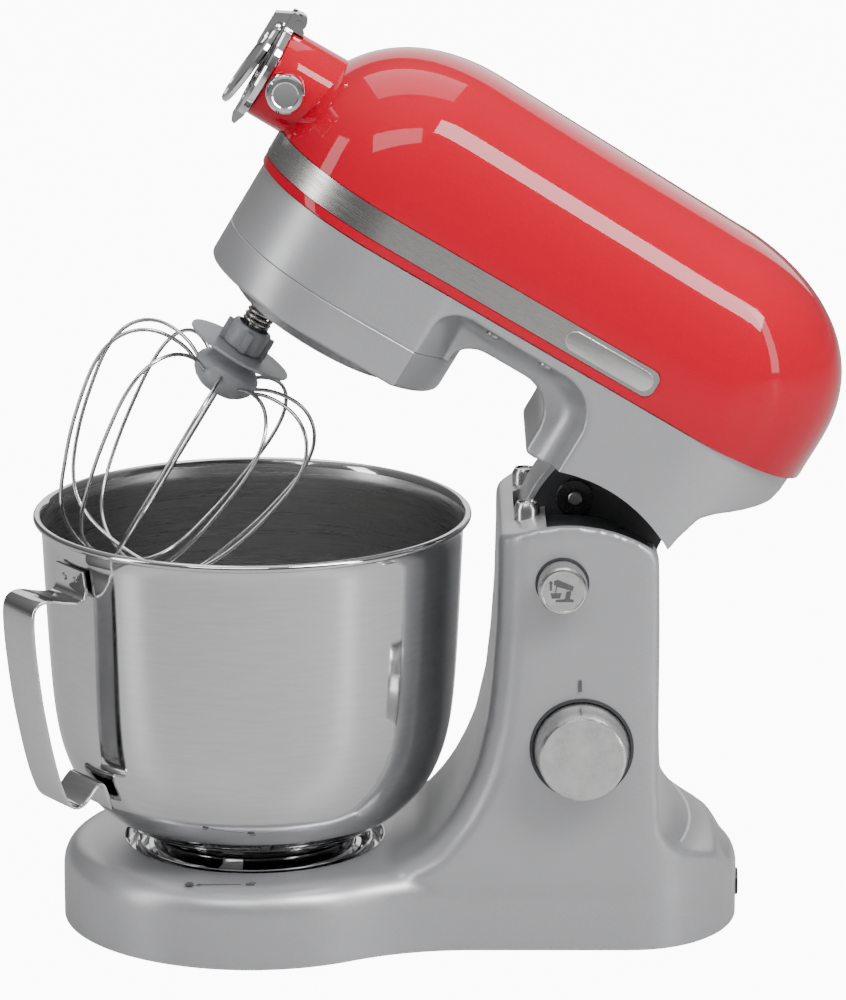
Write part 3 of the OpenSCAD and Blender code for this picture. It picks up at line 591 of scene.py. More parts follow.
seat = lathe([(0, 36.2), (57.5, 36.2), (58.4, 37), (58.5, 42), (58.9, 42.4), (59.5, 42.4), (60, 42),
              (60.1, 37.6), (61, 36.8), (64.2, 36.8), (65, 37.6), (65.2, 42.4), (65.6, 43), (66, 43),
              (66, 36), (0, 36)])
seat = combine(seat, [block((-72, -9, 38.6), (-55, 9, 48))])
polished = ground("polished_steel", (0.63, 0.63, 0.635), (0.58, 0.58, 0.585), 0.07, 0.13,
                  (160, 160, 900), 0.02)
seat = shape_to_object(seat, "seat_dish", polished, 30)
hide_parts("bowl_seat")
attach(seat, "stand")


# ---- Lock marks ----
# Two small padlocks, one open and one shut, joined by an arrow, are printed on the
# base in front of the bowl and again on the bowl's lower wall.


def flat_shape(outline):
    """A thin printed shape in X and Y, standing a hair proud of Z = 0."""
    return upright(outline, -0.02, 0.12)


def join(pieces):
    """Gathers several bmeshes into one."""
    whole = bmesh.new()
    for piece in pieces:
        mesh = bpy.data.meshes.new("part")
        piece.to_mesh(mesh)
        piece.free()
        whole.from_mesh(mesh)
        bpy.data.meshes.remove(mesh)
    return whole


def bar(x0, y0, x1, y1, width):
    """A straight printed stroke."""
    along = Vector((x1 - x0, y1 - y0)).normalized() * width / 2
    side = Vector((-along.y, along.x))
    return flat_shape([(x0 + side.x, y0 + side.y), (x0 - side.x, y0 - side.y), (x1 - side.x, y1 - side.y),
                       (x1 + side.x, y1 + side.y)])


def lock_marks():
    """Shut padlock, arrow and open padlock, drawn about the origin."""
    marks_drawn = []
    for x, open_by in ((-15, 0), (15, 1.2)):
        marks_drawn.append(flat_shape([(x - 2.2, -2.4), (x + 2.2, -2.4), (x + 2.2, 0.6), (x - 2.2, 0.6)]))
        outer = arc_points(x + open_by, 0.7, 1.7, 2, 0, 180, 10)
        inner = arc_points(x + open_by, 0.7, 1.0, 1.3, 180, 0, 10)
        marks_drawn.append(flat_shape(outer + inner))
    marks_drawn.append(bar(-10.5, -1, 10.5, -1, 0.5))
    marks_drawn.append(flat_shape([(-12, -1), (-9.5, -2.2), (-9.5, 0.2)]))
    return join(marks_drawn)


base_mark = lock_marks()
bmesh.ops.translate(base_mark, vec=(-15, -82.5, BASE_TOP + 0.02), verts=base_mark.verts)
ink = painted("printed_mark", (0.09, 0.09, 0.095), (0.07, 0.07, 0.075), 0.0, 0.45, 0.55, 900, 0.02)
base_mark = shape_to_object(base_mark, "base_lock_mark", ink)
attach(base_mark, "stand")


# ---- Column top, studs and hinge ----
# A dark moulding fills the slot between the column's walls. Two turned steel studs
# carry the closed head, and a steel cradle holds the hinge pin and its spring.

coat(dark_plastic, "column_top_cover")
cast = painted("cast_metal", (0.3, 0.3, 0.31), (0.24, 0.24, 0.25), 0.85, 0.42, 0.56, 700, 0.25)
machined = ground("machined_steel", (0.52, 0.52, 0.5), (0.44, 0.44, 0.43), 0.22, 0.34, (500, 500, 60))
coat(cast, "hinge_frame", "gear_frame", "motor_mount", "planet_carrier")
coat(machined, "hinge_pin", "latch_lever", "ring_gear", "motor_rotor", "countershaft", "central_gear",
     "hub_drive", "whisk_spindle", "hub_sleeve")

turned = ground("turned_steel", (0.66, 0.655, 0.65), (0.56, 0.555, 0.55), 0.16, 0.3, (120, 1400, 120), 0.05)
studs = join([lathe([(0, 210), (6.4, 210), (6.4, 223.2), (5, 225.9), (4.4, 226), (4.1, 225.2), (0, 225.1)],
                    48, "Z", (137, side, 0))
              for side in (-35, 35)])
studs = shape_to_object(studs, "turned_studs", turned, 30)
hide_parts("rest_studs")
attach(studs, "stand")

spring_wire = ground("spring_wire", (0.5, 0.48, 0.46), (0.4, 0.39, 0.38), 0.2, 0.34, (400, 400, 900))


def direction(path, i):
    """Where a path is heading at one of its points."""
    return (path[min(i + 1, len(path) - 1)] - path[max(i - 1, 0)]).normalized()


def tube(path, radius, sides, axis="Z", centre=(0, 0, 0)):
    """A round wire swept along a path."""
    rings = []
    normal = None
    for i, place in enumerate(path):
        along = direction(path, i)
        if normal is None:
            normal = along.orthogonal().normalized()
        normal = (normal - along * normal.dot(along)).normalized()
        across = along.cross(normal)
        rings.append([place + radius * (normal * math.cos(math.tau * k / sides)
                                        + across * math.sin(math.tau * k / sides)) for k in range(sides)])
    bm = stack_of_rings(rings)
    bmesh.ops.transform(bm, matrix=Matrix.Translation(centre) @ TO_AXIS[axis], verts=bm.verts)
    return bm


hinge_coils = []
for side in (-1, 1):
    turns = arc_points(0, 0, 4.3, 4.3, 0, 4 * 360, 96)
    path = [Vector((x, y, side * (33 + 6 * i / 96))) for i, (x, y) in enumerate(turns)]
    hinge_coils.append(tube(path, 0.85, 8, "Y", (hinge.x, 0, hinge.z)))
hinge_coils = shape_to_object(join(hinge_coils), "torsion_springs", spring_wire, 60)
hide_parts("hinge_spring")
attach(hinge_coils, "stand")


# ---- Electrics in the column ----
# The gland for the mains lead is black nylon. The control board and the rotary
# switch sit behind the knob, out of sight.

black = painted("black_plastic", (0.015, 0.015, 0.016), (0.01, 0.01, 0.011), 0.0, 0.24, 0.32, 900, 0.05)
coat(black, "power_inlet", "speed_switch")
board = painted("solder_mask", (0.02, 0.16, 0.06), (0.015, 0.11, 0.04), 0.0, 0.3, 0.42, 400, 0.1)
coat(board, "control_board")


# ---- Speed knob ----
# A turned aluminium cap with a spun face stands in a dark ring in the column's wall.
# A short black line above it is the index for its positions.

coat(dark_plastic, "knob_bezel", "button_guide")
knob = lathe([(0, 46), (3, 46), (3, 63.9), (23.4, 64), (23.8, 64.4), (23.8, 69.5), (23.2, 72.4), (22.2, 78),
              (21.7, 83.2), (21.2, 84.5), (20.2, 85), (10, 85.2),
              (0, 85.25)], 160, "Y", (KNOB.x, 0, KNOB.z))
knob = shape_to_object(knob, "turned_knob", turned, 24)
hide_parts("speed_knob")
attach(knob, "knob")


def round_edges(bm, edges, radius, segments):
    """Rounds edges over."""
    bmesh.ops.bevel(bm, geom=edges, offset=radius, offset_type="OFFSET", segments=segments, profile=0.5,
                    affect="EDGES", clamp_overlap=True, material=-1)


index = block((162.1, -67.55, 137.5), (163.9, -67.05, 143.3))
round_edges(index, index.edges[:], 0.15, 2)
index = shape_to_object(index, "index_line", ink)
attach(index, "stand")


# ---- Release button ----
# The turned plug slides in a dark sleeve. A small mixer with its head raised is
# printed on its face.

button = lathe([(0, 46), (3, 46), (3, 54), (12.2, 54), (12.2, 78.5), (11.9, 80.6), (11.2, 81.6),
                (10.4, 81.9), (10, 81.7), (0, 81.6)], 96, "Y", (BUTTON.x, 0, BUTTON.z))
button = shape_to_object(button, "turned_button", turned, 24)
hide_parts("release_button")
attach(button, "button")

picture = join([
    flat_shape([(-3.6, -5.2), (5.2, -5.2), (5.2, -3.9), (3.4, -3.6), (4, 0.6), (1.6, 0.2), (0.9, -3.6),
                (-3.6, -4)]),
    flat_shape([(4.6, 0.4), (5.2, 2.8), (-2.6, 6.2), (-4.4, 5.6), (-4.6, 3.8), (-3.2, 2.6)]),
    flat_shape([(-5.6, -3.4), (-1.6, -3.4), (-0.6, -0.6), (-6.2, -0.6)]),
    bar(-3.1, 2.8, -3.8, -0.4, 0.5),
    flat_shape([(-6.6, 0.6), (-5.4, 0.6), (-5.4, 4.2), (-4.8, 4.2), (-6, 5.8), (-7.2, 4.2), (-6.6, 4.2)]),
])
bmesh.ops.transform(picture, matrix=Matrix.Translation((BUTTON.x, -81.62, BUTTON.z))
                    @ Matrix.Rotation(math.pi / 2, 4, "X"), verts=picture.verts)
picture = shape_to_object(picture, "button_picture", ink)
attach(picture, "button")


# ---- Red cover of the head ----
# A deep-drawn cover in gloss red enamel. Its crown runs back in one sweep, its nose
# carries the neck of the attachment hub, and a shallow groove takes the steel band.

SEAM = 266.4
NOSE_C, REAR_C, HEAD_W = -1.6, 179.1, 65
HUB_Z = 307
CROWN_FRONT, CROWN_REAR = 15, 150
SHOULDER, CROWN_TOP = 286, 361


def cover_outline():
    """Half plan of the cover at the band as outline point, crown point and exponent."""
    steps = 22
    half = []
    for a in range(steps):
        t = math.radians(1 + 88 * a / steps)
        x, y = HEAD_W * math.cos(t), HEAD_W * math.sin(t)
        half.append((REAR_C + x, y, CROWN_REAR, 2.4 - 0.1 * math.cos(t)))
    for i in range(25):
        x = REAR_C + (NOSE_C - REAR_C) * i / 24
        half.append((x, HEAD_W, min(max(x, CROWN_FRONT), CROWN_REAR), 2.4))
    for a in range(1, steps + 1):
        t = math.radians(90 + 89 * a / steps)
        x, y = HEAD_W * math.cos(t), HEAD_W * math.sin(t)
        half.append((NOSE_C + x, y, CROWN_FRONT, 2.4 + 0.1 * math.cos(t)))
    return half


def cover_level(rise, inset):
    """One ring of the cover, from the band's height at 0 to the crown at 90 degrees."""
    places = []
    for x, y, crown_x, power in cover_outline():
        reach = math.cos(math.radians(rise)) ** (2 / power)
        climb = math.sin(math.radians(rise)) ** (2 / power)
        top = CROWN_TOP - 2 * (crown_x - 40) / 78 - inset
        away = Vector((x - crown_x, y))
        away *= (away.length - inset) / away.length
        places.append((crown_x + away.x * reach, away.y * reach, SHOULDER + (top - SHOULDER) * climb))
    return places + [(x, -y, z) for x, y, z in reversed(places)]


def cover_body(inset, low):
    """The cover as a closed solid, drawn in by a wall."""
    skirt = ((0, inset),) if inset else ((0, 0.7), (0.25, 0.2), (0.9, 0))
    rings = [[(x, y, low + up) for x, y, _ in cover_level(0, drawn_in)] for up, drawn_in in skirt]
    rings.append(cover_level(0, inset))
    rings += [cover_level(90 * (i / 26) ** 1.15, inset) for i in range(1, 26)] + [cover_level(88.7, inset)]
    return stack_of_rings(rings)


def neck_ring(x, radius):
    """A ring about the hub's axis."""
    return [(x, y, HUB_Z + z) for y, z in arc_points(0, 0, radius, radius, 0, 355, 71)]


neck = [neck_ring(x, radius) for x, radius in ((-85.9, 22.6), (-85.5, 23.3), (-84.6, 23.5), (-35, 24))]


def band_wall(outer, inner, low, high, rear):
    """A strip of wall round the nose with rounded ends at the rear."""
    shell = combine(upright([(x, y) for x, y, _ in cover_level(0, -outer)], 260, 300),
                    [upright([(x, y) for x, y, _ in cover_level(0, inner)], 250, 310)])
    corner = 5
    outline = [(-90, low), *arc_points(rear - corner, low + corner, corner, corner, -90, 0, 8),
               *arc_points(rear - corner, high - corner, corner, corner, 0, 90, 8), (-90, high)]
    return combine(shell, [slab(outline, -90, 90)], "INTERSECT")


cover = combine(cover_body(0, SEAM + 0.15), [stack_of_rings(neck)], "UNION")
cover = combine(cover, [cover_body(2.5, SEAM - 6), rod("X", (0, 0, HUB_Z), 17.1, -100, -20),
                        rod("Y", (-76, 0, HUB_Z), 3.1, -40, 0), band_wall(1, 0.9, 271.4, 286.2, 150.3)])
bmesh.ops.dissolve_degenerate(cover, dist=0.005, edges=cover.edges)
enamel = painted("red_enamel", (0.52, 0.001, 0.02), (0.48, 0.001, 0.017), 0.0, 0.1, 0.16, 2200, 0.008,
                 Coat_Weight=1.0, Coat_Roughness=0.02, Coat_IOR=1.34, Specular_IOR_Level=0.02)
cover = shape_to_object(cover, "red_cover", enamel, 28, on_head=True)
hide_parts("head_cover")
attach(cover, "head")


# ---- Steel band and blank badge ----
# A brushed stainless strip lies in the cover's groove. A raised aluminium badge,
# left blank, sits near its end on the knob's side.

band = band_wall(0.25, 0.8, 271.75, 285.85, 150)
brushed = ground("brushed_band", (0.6, 0.58, 0.56), (0.5, 0.485, 0.47), 0.2, 0.32, (30, 30, 2600), 0.1,
                 (0, -head_lean, 0), Anisotropic=0.5)
band = shape_to_object(band, "steel_band", brushed, 30, on_head=True)
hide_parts("trim_band")
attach(band, "head")

plate = arc_points(104.5, 278.8, 5.2, 5.2, 90, 270, 16) + arc_points(142.5, 278.8, 5.2, 5.2, -90, 90, 16)
plate = slab(plate, -65.2, -66.45)
rim = [e for e in plate.edges if all(v.co.y < -66 for v in e.verts)]
round_edges(plate, rim, 0.45, 3)
satin = ground("badge_metal", (0.78, 0.77, 0.76), (0.7, 0.69, 0.68), 0.26, 0.34, (30, 30, 2600), 0.05,
               (0, -head_lean, 0))
plate = shape_to_object(plate, "blank_badge", satin, 30, on_head=True)
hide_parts("badge")
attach(plate, "head")


# ---- Lower housing of the head ----
# One silver casting: a drum over the bowl, an arched neck and a deep tail whose
# skirt follows the column's curved top.

DRUM_W = 65.2
REAR_EDGE, REAR_FACE = 40, 66


def stadium(x0, x1, half_width):
    """Plan with two half-round ends."""
    return both_sides(arc_points(x1 - half_width, 0, half_width, half_width, 2, 90, 24)
                      + arc_points(x0 + half_width, 0, half_width, half_width, 91, 178, 24))


def drum_outline(half_width):
    """Plan of the drum: a round front, flat sides and a bowed rear face."""
    grow = half_width - DRUM_W
    bow_x = (REAR_FACE ** 2 - REAR_EDGE ** 2 - DRUM_W ** 2) / (2 * (REAR_FACE - REAR_EDGE))
    bow_r = REAR_FACE - bow_x
    edge = math.degrees(math.asin(DRUM_W / bow_r))
    return both_sides(arc_points(bow_x, 0, bow_r + grow, bow_r + grow, 1, edge, 22)
                      + arc_points(0, 0, half_width, half_width, 89.9, 178, 44))


def arch_ring(share, y):
    """Side view of the arch at a depth: wide at the sides (share 0), narrow between the coves."""
    front = arc_points(56 + 18 * share, 245.5 - 9 * share, 16 - 2 * share, 16 - 6 * share, 180, 90, 14)
    rear = arc_points(110 - 15 * share, 239 - 12 * share, 20.5 - share, 21.5 - 2 * share, 90, 0, 18)
    outline = [(front[0][0], 150), *front, *rear, (rear[-1][0], 150)]
    return [(x, y, z) for x, z in outline]


coves = [(0, 90), (0, 64.4)]
for i in range(1, 11):
    bend = math.radians(9 * i)
    coves.append((1 - math.cos(bend), 64.4 - 22.4 * math.sin(bend)))
arch = stack_of_rings([arch_ring(share, -y) for share, y in coves]
                      + [arch_ring(share, y) for share, y in reversed(coves)])
tail_side = [(0, 278), (0, 213.4), (150, 213.4), (150, 200), (198.1, 200), (198.4, 208.8), (200.3, 219),
             (204, 231.5), (210.7, 237), (223, 243.6), (235, 250.5), (238, 256), (239.4, 262), (240.3, 278)]
lower = combine(upright(stadium(-64.3, 240.3, 64.3), 196, 278), [slab(tail_side, -80, 80)], "INTERSECT")
lower = combine(lower, [arch])
lower = combine(lower, [upright(drum_outline(DRUM_W), 219, 278)], "UNION")
lower = melt(lower, 1.3, 14)
lower = combine(lower, [
    block((-200, -200, SEAM - 0.15), (400, 200, 400)),
    block((-90, -90, 100), (76, 90, 234.25)),
    rod("Y", (ARC_X, 0, ARC_Z), ARC_R + 1.5, -90, 90, 256),
    rod("Z", (0, 0, 0), 62, 200, 270, 128),
    slab([(131, 205), (131, 227), (196, 227), (205, 214), (205, 200)], -21.1, 21.1),
    *[slab([(124.4, 200), (128, 227), (144.6, 227), (144.6, 200)], side - 8, side + 8) for side in (-35, 35)],
    *[rod("Z", (x, side, 0), 3.8, 240, 259.6, 32) for x in (100, 70) for side in (-52, 52)],
])
lower = combine(lower, [block((10, -58, 263), (120, 58, 266)), block((134, -58, 226), (196, 58, 264))])
bmesh.ops.dissolve_degenerate(lower, dist=0.01, edges=lower.edges)
lower = shape_to_object(lower, "silver_housing", silver, 32, on_head=True)
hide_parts("lower_housing")
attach(lower, "head")

screw_side = [(0, 257.6), (2.6, 257.6), (3.4, 258.2), (3.5, 259.5), (2, 259.6), (2, 264), (0, 264)]
caps = [lathe(screw_side, 32, "Z", (x, side, 0)) for x in (100, 70) for side in (-52, 52)]
caps = shape_to_object(join(caps), "housing_screw_heads", zinc, 30, on_head=True)
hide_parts("housing_screws")
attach(caps, "head")


# ---- Gearbox cover and planet disc ----
# A shallow silver cup closes the gearbox below the drum. The dark cast disc in its
# mouth turns and carries the whisk's spindle.

cup = graded(drum_outline, [(213.6, 62.6), (213.9, 63.9), (214.8, 64.7), (216, 65), (233.5, 65.1),
                            (233.95, 64.7)])
cup = combine(cup, [upright(drum_outline(61.5), 216.5, 240), rod("Z", (0, 0, 0), 48.2, 200, 220, 128)])
cup = shape_to_object(cup, "gearbox_cup", silver, 30, on_head=True)
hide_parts("gearbox_cover")
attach(cup, "head")


# ---- Hinge lug ----
# The arm that the head swings on shows a silver strip in front and dark moulded
# sides. A black cap with a steel screw closes the near side of its clamp bolt.

LUG_R, LUG_W = 65.7, 21


def lug_arc(radius, start, stop, count=28):
    """Points on an arc about the hinge."""
    return arc_points(hinge.x, hinge.z, radius, radius, start, stop, count)


lug = slab([(197.5, 225.9), (199.5, 212), (200.5, 201), *lug_arc(5.5, 30, -80, 10), (186, 189.5),
            (163, 182.6), *lug_arc(62.4, 194, 152), (141, 225.9)], -LUG_W + 0.5, LUG_W - 0.5)
lug = combine(lug, [rod("Y", hinge, 3.06, -40, 40, 32)])
lug = shape_to_object(lug, "lug_arm", dark_plastic, 30, on_head=True)
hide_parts("hinge_lug")
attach(lug, "head")

strip = slab([*lug_arc(LUG_R, 196.4, 154), *lug_arc(62.5, 154, 196.4)], -LUG_W + 0.1, LUG_W - 0.1)
long_edges = [e for e in strip.edges if all((v.co.xz - hinge.xz).length > 65 for v in e.verts)]
round_edges(strip, long_edges, 0.9, 3)
strip = shape_to_object(strip, "lug_strip", silver, 40, on_head=True)
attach(strip, "head")

BOSS = Vector((151.5, 0, 202.4))
cap = lathe([(0, 20.8), (9.4, 20.8), (9.5, 22), (9, 22.5), (5, 22.6), (4.6, 22.2), (0, 22.2)], 64, "Y", BOSS)
cap = shape_to_object(cap, "lug_cap_moulding", black, 30, on_head=True)
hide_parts("lug_cap")
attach(cap, "head")
screw = lathe([(0, 22.1), (3.4, 22.1), (3.4, 23), (2.9, 23.5), (0, 23.6)], 40, "Y", BOSS)
screw = combine(screw, [block((BOSS.x - 0.4, -26, BOSS.z - 2.6), (BOSS.x + 0.4, -23, BOSS.z + 2.6)),
                        block((BOSS.x - 2.6, -26, BOSS.z - 0.4), (BOSS.x + 2.6, -23, BOSS.z + 0.4))])
screw = shape_to_object(screw, "lug_screw", zinc, on_head=True)
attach(screw, "head")


# ---- Motor and drive ----
# The motor, its belt and the gears fill the head, hidden by the covers. The windings
# are copper and the belt is black rubber.

copper = ground("copper_winding", (0.55, 0.25, 0.1), (0.4, 0.17, 0.07), 0.3, 0.45, (300, 300, 2000))
coat(copper, "motor_stator")
coat(rubber, "drive_belt")


# ---- Attachment hub ----
# A chrome ring closes the red neck. A sprung chrome flap hangs from the ring's lug,
# a little open, and a chrome knob on the side clamps an attachment.

chrome = ground("chrome_trim", (0.8, 0.8, 0.81), (0.77, 0.77, 0.78), 0.03, 0.07, (200, 200, 200), 0.01)
hub_ring = lathe([(17.2, 86.1), (24.4, 86.1), (25.2, 86.6), (25.3, 89.6), (24.6, 90.6), (23.4, 90.9),
                  (18, 90.9), (17.2, 90.2), (17.2, 86.1)], 128, "X", (0, 0, HUB_Z))
hub_lug = slab([(-91, 325), (-91, 338.6), (-90.4, 339.2), (-86.5, 339.2), (-81.2, 331.4), (-80.4, 330.7),
                (-86.05, 330.7), (-86.05, 325)], -7, 7)
hub_foot = slab([(-91, 289), (-91, 278.6), (-90, 276.8), (-88.2, 276.4), (-86.1, 282), (-86.1, 289)], -7, 7)
hub_ring = combine(hub_ring, [hub_lug, hub_foot], "UNION")
hub_ring = combine(hub_ring, [block((-96, -4.3, 330.8), (-79, 4.3, 345)),
                              rod("X", (0, 0, HUB_Z), 17.2, -100, -70)])
hub_ring = shape_to_object(hub_ring, "hub_mouth_ring", chrome, 30, on_head=True)
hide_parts("hub_ring")
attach(hub_ring, "head")
coat(chrome, "hub_cover_pin")

flap = lathe([(0, 0), (23.4, 0), (24.4, 0.6), (24.5, 2.4), (23.6, 3.3), (21.8, 3.4), (21.2, 2.8),
              (0, 2.8)], 128)
flap_lean = Matrix.Rotation(math.radians(-84), 4, "Y")
bmesh.ops.transform(flap, matrix=Matrix.Translation((-94.2, 0, HUB_Z)) @ flap_lean, verts=flap.verts)
arm = slab([(-98.6, 316), (-98.4, 334), *arc_points(-86.2, 335.6, 4.3, 4.3, 130, -40, 12),
            (-90, 332.2), (-92.4, 331.6), (-95.4, 316)], -4, 4)
flap = combine(flap, [arm], "UNION")
flap = combine(flap, [rod("Y", (-86.2, 0, 335.5), 1.56, -10, 10, 32)])
flap = shape_to_object(flap, "hub_flap", chrome, 30, on_head=True)
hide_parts("hub_cover")
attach(flap, "hub_flap")

clamp = lathe([(0, 13), (3, 13), (3, 27), (9.4, 27), (9.7, 27.4), (9.7, 38.6), (9.3, 40.2), (8.4, 41),
               (6.6, 41.15), (6, 40.8), (0, 40.7)], 96, "Y", (-76, 0, HUB_Z))
clamp = shape_to_object(clamp, "clamp_knob_cap", chrome, 24, on_head=True)
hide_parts("hub_knob")
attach(clamp, "clamp_knob")


# ---- Whisk coupling ----
# The spindle's spring of stainless wire pushes the whisk down on its cross pin. The
# collar, splash guard and dome are moulded in grey plastic.

BEATER_X = -28
grey = painted("grey_plastic", (0.33, 0.34, 0.355), (0.27, 0.28, 0.295), 0.0, 0.3, 0.4, 1400, 0.06)


def coil(radius, wire, z0, z1, turns, centre):
    """A helical spring with closed flat ends."""
    path = []
    steps = int(turns * 28)
    for i in range(steps + 1):
        done = turns * i / steps
        a = done * math.tau
        rise = min(max((done - 0.8) / (turns - 1.6), 0), 1)
        ends = min(done, 0.8) + max(done - turns + 0.8, 0)
        z = z0 + (z1 - z0) * rise + wire * 1.6 * ends
        path.append(Vector((radius * math.cos(a), radius * math.sin(a), z)))
    return tube(path, wire, 10, "Z", centre)


spring = coil(6.4, 1.05, 193.7, 203.8, 5.6, (BEATER_X, 0, 0))
spring = shape_to_object(spring, "push_spring", spring_wire, 60, on_head=True)
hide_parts("spindle_spring")
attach(spring, "spindle")

collar = lathe([(4.1, 179.2), (9.6, 179.2), (10.3, 179.8), (10.5, 190.6), (9.9, 191.8), (8, 192),
                (7.9, 187.2), (4.1, 187.2), (4.1, 179.2)], 64)
for a in range(4):
    fin = block((8.8, -2, 179.4), (12.9, 2, 190.4))
    round_edges(fin, fin.edges[:], 0.6, 2)
    bmesh.ops.rotate(fin, matrix=Matrix.Rotation(math.pi / 2 * a, 3, "Z"), verts=fin.verts)
    collar = combine(collar, [fin], "UNION")
bmesh.ops.translate(collar, vec=(BEATER_X, 0, 0), verts=collar.verts)
collar = shape_to_object(collar, "bayonet_collar", grey, 30, on_head=True)
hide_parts("whisk_collar")
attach(collar, "whisk")

guard = lathe([(4.1, 177.1), (26.6, 177), (27.3, 177.4), (27.5, 178), (27.3, 178.6), (26.4, 178.8),
               (10.6, 179.05), (4.1, 179.05), (4.1, 177.1)], 128, "Z", (BEATER_X, 0, 0))
guard = shape_to_object(guard, "splash_guard", grey, 30, on_head=True)
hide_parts("splash_disc")
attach(guard, "whisk")

dome = lathe([(0, 153.2), (5, 153.4), (9.4, 154.5), (13.2, 156.9), (15.9, 160), (17, 163), (17, 166.4),
              (16.2, 168.2), (13.6, 170.9), (10.9, 173.4), (10.1, 175.2), (10, 177), (4.1, 177),
              (4.1, 165.6), (0, 165.6)], 96, "Z", (BEATER_X, 0, 0))
dome = shape_to_object(dome, "wire_dome", grey, 40, on_head=True)
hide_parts("whisk_hub")
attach(dome, "whisk")


# ---- Whisk wires ----
# Five loops of stainless wire are moulded into the dome. They cross below at
# slightly different heights.

WIRE_HALF = [(16.6, 163), (25, 166.4), (36, 167.6), (46, 165.6), (54.4, 159.6), (59.6, 150), (60.8, 137),
             (58.4, 121), (54, 103), (48, 86), (41.6, 71), (33, 60), (20.5, 53), (7, 50.7)]


def smooth_path(points, steps):
    """A curve through every point, by Catmull and Rom."""
    path = []
    for i in range(len(points) - 1):
        a, b, c, d = (Vector(points[min(max(i + k, 0), len(points) - 1)]) for k in (-1, 0, 1, 2))
        for j in range(steps):
            t = j / steps
            path.append(0.5 * (2 * b + (c - a) * t + (2 * a - 5 * b + 4 * c - d) * t * t
                               + (3 * b - a - 3 * c + d) * t ** 3))
    return path + [Vector(points[-1])]


loops = []
for i in range(5):
    half = [(r, 0, z + 2.4 * i * max(0, 90 - z) / 40) for r, z in WIRE_HALF]
    wire = tube(smooth_path(half + [(-r, 0, z) for r, _, z in reversed(half)], 5), 1.02, 10)
    bmesh.ops.rotate(wire, matrix=Matrix.Rotation(math.radians(36 * i + 12), 3, "Z"), verts=wire.verts)
    bmesh.ops.translate(wire, vec=(BEATER_X, 0, 0), verts=wire.verts)
    loops.append(wire)
drawn_wire = ground("drawn_wire", (0.6, 0.6, 0.6), (0.5, 0.5, 0.5), 0.12, 0.22, (900, 900, 900), 0.03)
wires = shape_to_object(join(loops), "wire_loops", drawn_wire, 60, on_head=True)
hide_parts("whisk_wires")
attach(wires, "whisk")


# ---- Bowl ----
# A spun stainless bowl with a rolled rim. It is mirror polished outside and keeps the
# fine rings of its spinning inside.

BOWL = [(0, 46), (38, 46), (46, 46.6), (54, 48.4), (62, 51.7), (70, 56.3), (78, 62.4), (84.4, 69),
        (89.6, 76.2), (93.9, 85), (97, 94), (99.2, 103.6), (100.8, 115), (102.2, 131), (103.4, 151),
        (104.7, 178), (105.8, 203)]
outside = [(p.x, p.y) for p in smooth_path(BOWL, 4)]
rolled = arc_points(108.1, 211.1, 1.9, 1.9, -120, 150, 14)
inside = [(r - 1.2 if r > 1 else 0, z + 1.2 * (1 if z < 110 else 0)) for r, z in reversed(outside)]
bowl = lathe(outside + [(106.3, 208.4)] + rolled + [(104.9, 209.5)] + inside, 192)
bowl_steel = ground("bowl_steel", (0.62, 0.62, 0.625), (0.57, 0.57, 0.575), 0.05, 0.1, (50, 50, 500), 0.015)
spun_inside = ground("spun_inside", (0.56, 0.56, 0.56), (0.48, 0.48, 0.48), 0.24, 0.36, (12, 12, 1500), 0.12,
                     Anisotropic=0.6)
bowl = shape_to_object(bowl, "bowl_wall", bowl_steel, 40)
bowl.data.materials.append(spun_inside)
for face in bowl.data.polygons:
    centre = face.center * 1000
    faces_axis = centre.z < 209 and face.normal.xy.dot(centre.xy) < 0
    if faces_axis or (centre.z < 60 and face.normal.z > 0.1):
        face.material_index = 1
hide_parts("bowl_shell")
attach(bowl, "bowl")

foot = lathe([(49.3, 37.7), (53.6, 37.7), (54, 38.1), (54, 38.6), (51.6, 39), (51, 39.6), (51, 44.6),
              (51.4, 45.6), (49.3, 45.7), (49.3, 37.7)], 160)
for a in range(3):
    tab = block((50, -6, 39), (57.6, 6, 40.4))
    bmesh.ops.rotate(tab, matrix=Matrix.Rotation(math.radians(120 * a + 18), 3, "Z"), verts=tab.verts)
    foot = combine(foot, [tab], "UNION")
foot = shape_to_object(foot, "bowl_foot_ring", polished, 30)
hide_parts("bowl_foot")
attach(foot, "bowl")

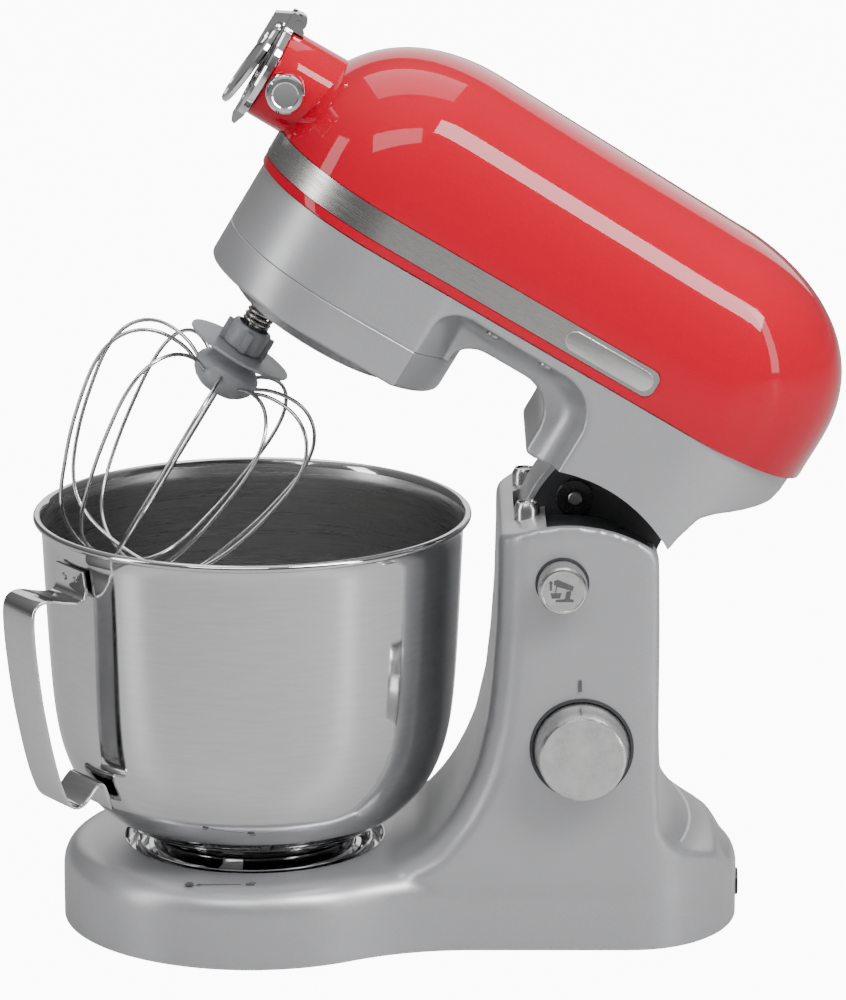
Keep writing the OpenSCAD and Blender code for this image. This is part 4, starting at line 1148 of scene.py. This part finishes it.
bowl_mark = lock_marks()
bmesh.ops.subdivide_edges(bowl_mark, edges=bowl_mark.edges, cuts=2, use_grid_fill=True)
for vert in bowl_mark.verts:
    turn = math.radians(-95.5) + vert.co.x / 76
    out = 74.2 + 0.9 * vert.co.y + vert.co.z * 0.7
    up = 59.2 + 0.78 * vert.co.y - vert.co.z * 0.7
    vert.co = (out * math.cos(turn), out * math.sin(turn), up)
bowl_mark = shape_to_object(bowl_mark, "bowl_lock_mark", ink)
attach(bowl_mark, "bowl")


# ---- Bowl handle ----
# A polished steel strip is bent to a D, spot welded to the bowl's wall above and
# below. Its edges are rounded over.

HANDLE_TURN = math.radians(215)
HANDLE_W = 14.4
HANDLE = [(107.1, 200), (106.7, 193), (106.6, 189), (108, 186), (112, 184.8), (119, 186), (126, 187.8),
          (131.4, 188), (135.6, 185.4), (137, 179.4), (136.5, 167), (135, 153), (132.8, 137), (129.8, 121),
          (126.2, 105), (122.6, 92.6), (118.6, 83.6), (114, 80.4), (109, 81.8), (103.6, 87.4),
          (100.2, 90.2), (97.7, 88.4), (94.9, 80.6), (92.6, 76)]
path = smooth_path([(r, 0, z) for r, z in HANDLE], 4)
rings = []
for i, place in enumerate(path):
    along = direction(path, i)
    out = Vector((along.z, 0, -along.x))
    half = HANDLE_W - 1.5 * max(0, 1 - min(i, len(path) - 1 - i) / 5)
    section = [(half, 0.45), (half - 0.35, 0.8), (half - 1.2, 0.95), (0, 1.0), (-half + 1.2, 0.95),
               (-half + 0.35, 0.8), (-half, 0.45)]
    section += [(w, -t) for w, t in reversed(section)]
    rings.append([place + Vector((0, w, 0)) + out * t * 0.9 for w, t in section])
grip = stack_of_rings(rings)
spots = [lathe([(0, 0), (2, 0), (1.9, 0.25), (1.2, 0.45), (0, 0.5)], 24) for _ in range(2)]
outward = Matrix.Rotation(math.pi / 2, 4, "Y")
for spot, side in zip(spots, (-5, 5)):
    bmesh.ops.transform(spot, matrix=Matrix.Translation((107.8, side, 194)) @ outward, verts=spot.verts)
grip = join([grip, *spots])
bmesh.ops.rotate(grip, matrix=Matrix.Rotation(HANDLE_TURN, 3, "Z"), verts=grip.verts)
grip = shape_to_object(grip, "strip_handle", polished, 40)
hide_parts("bowl_handle")
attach(grip, "bowl")
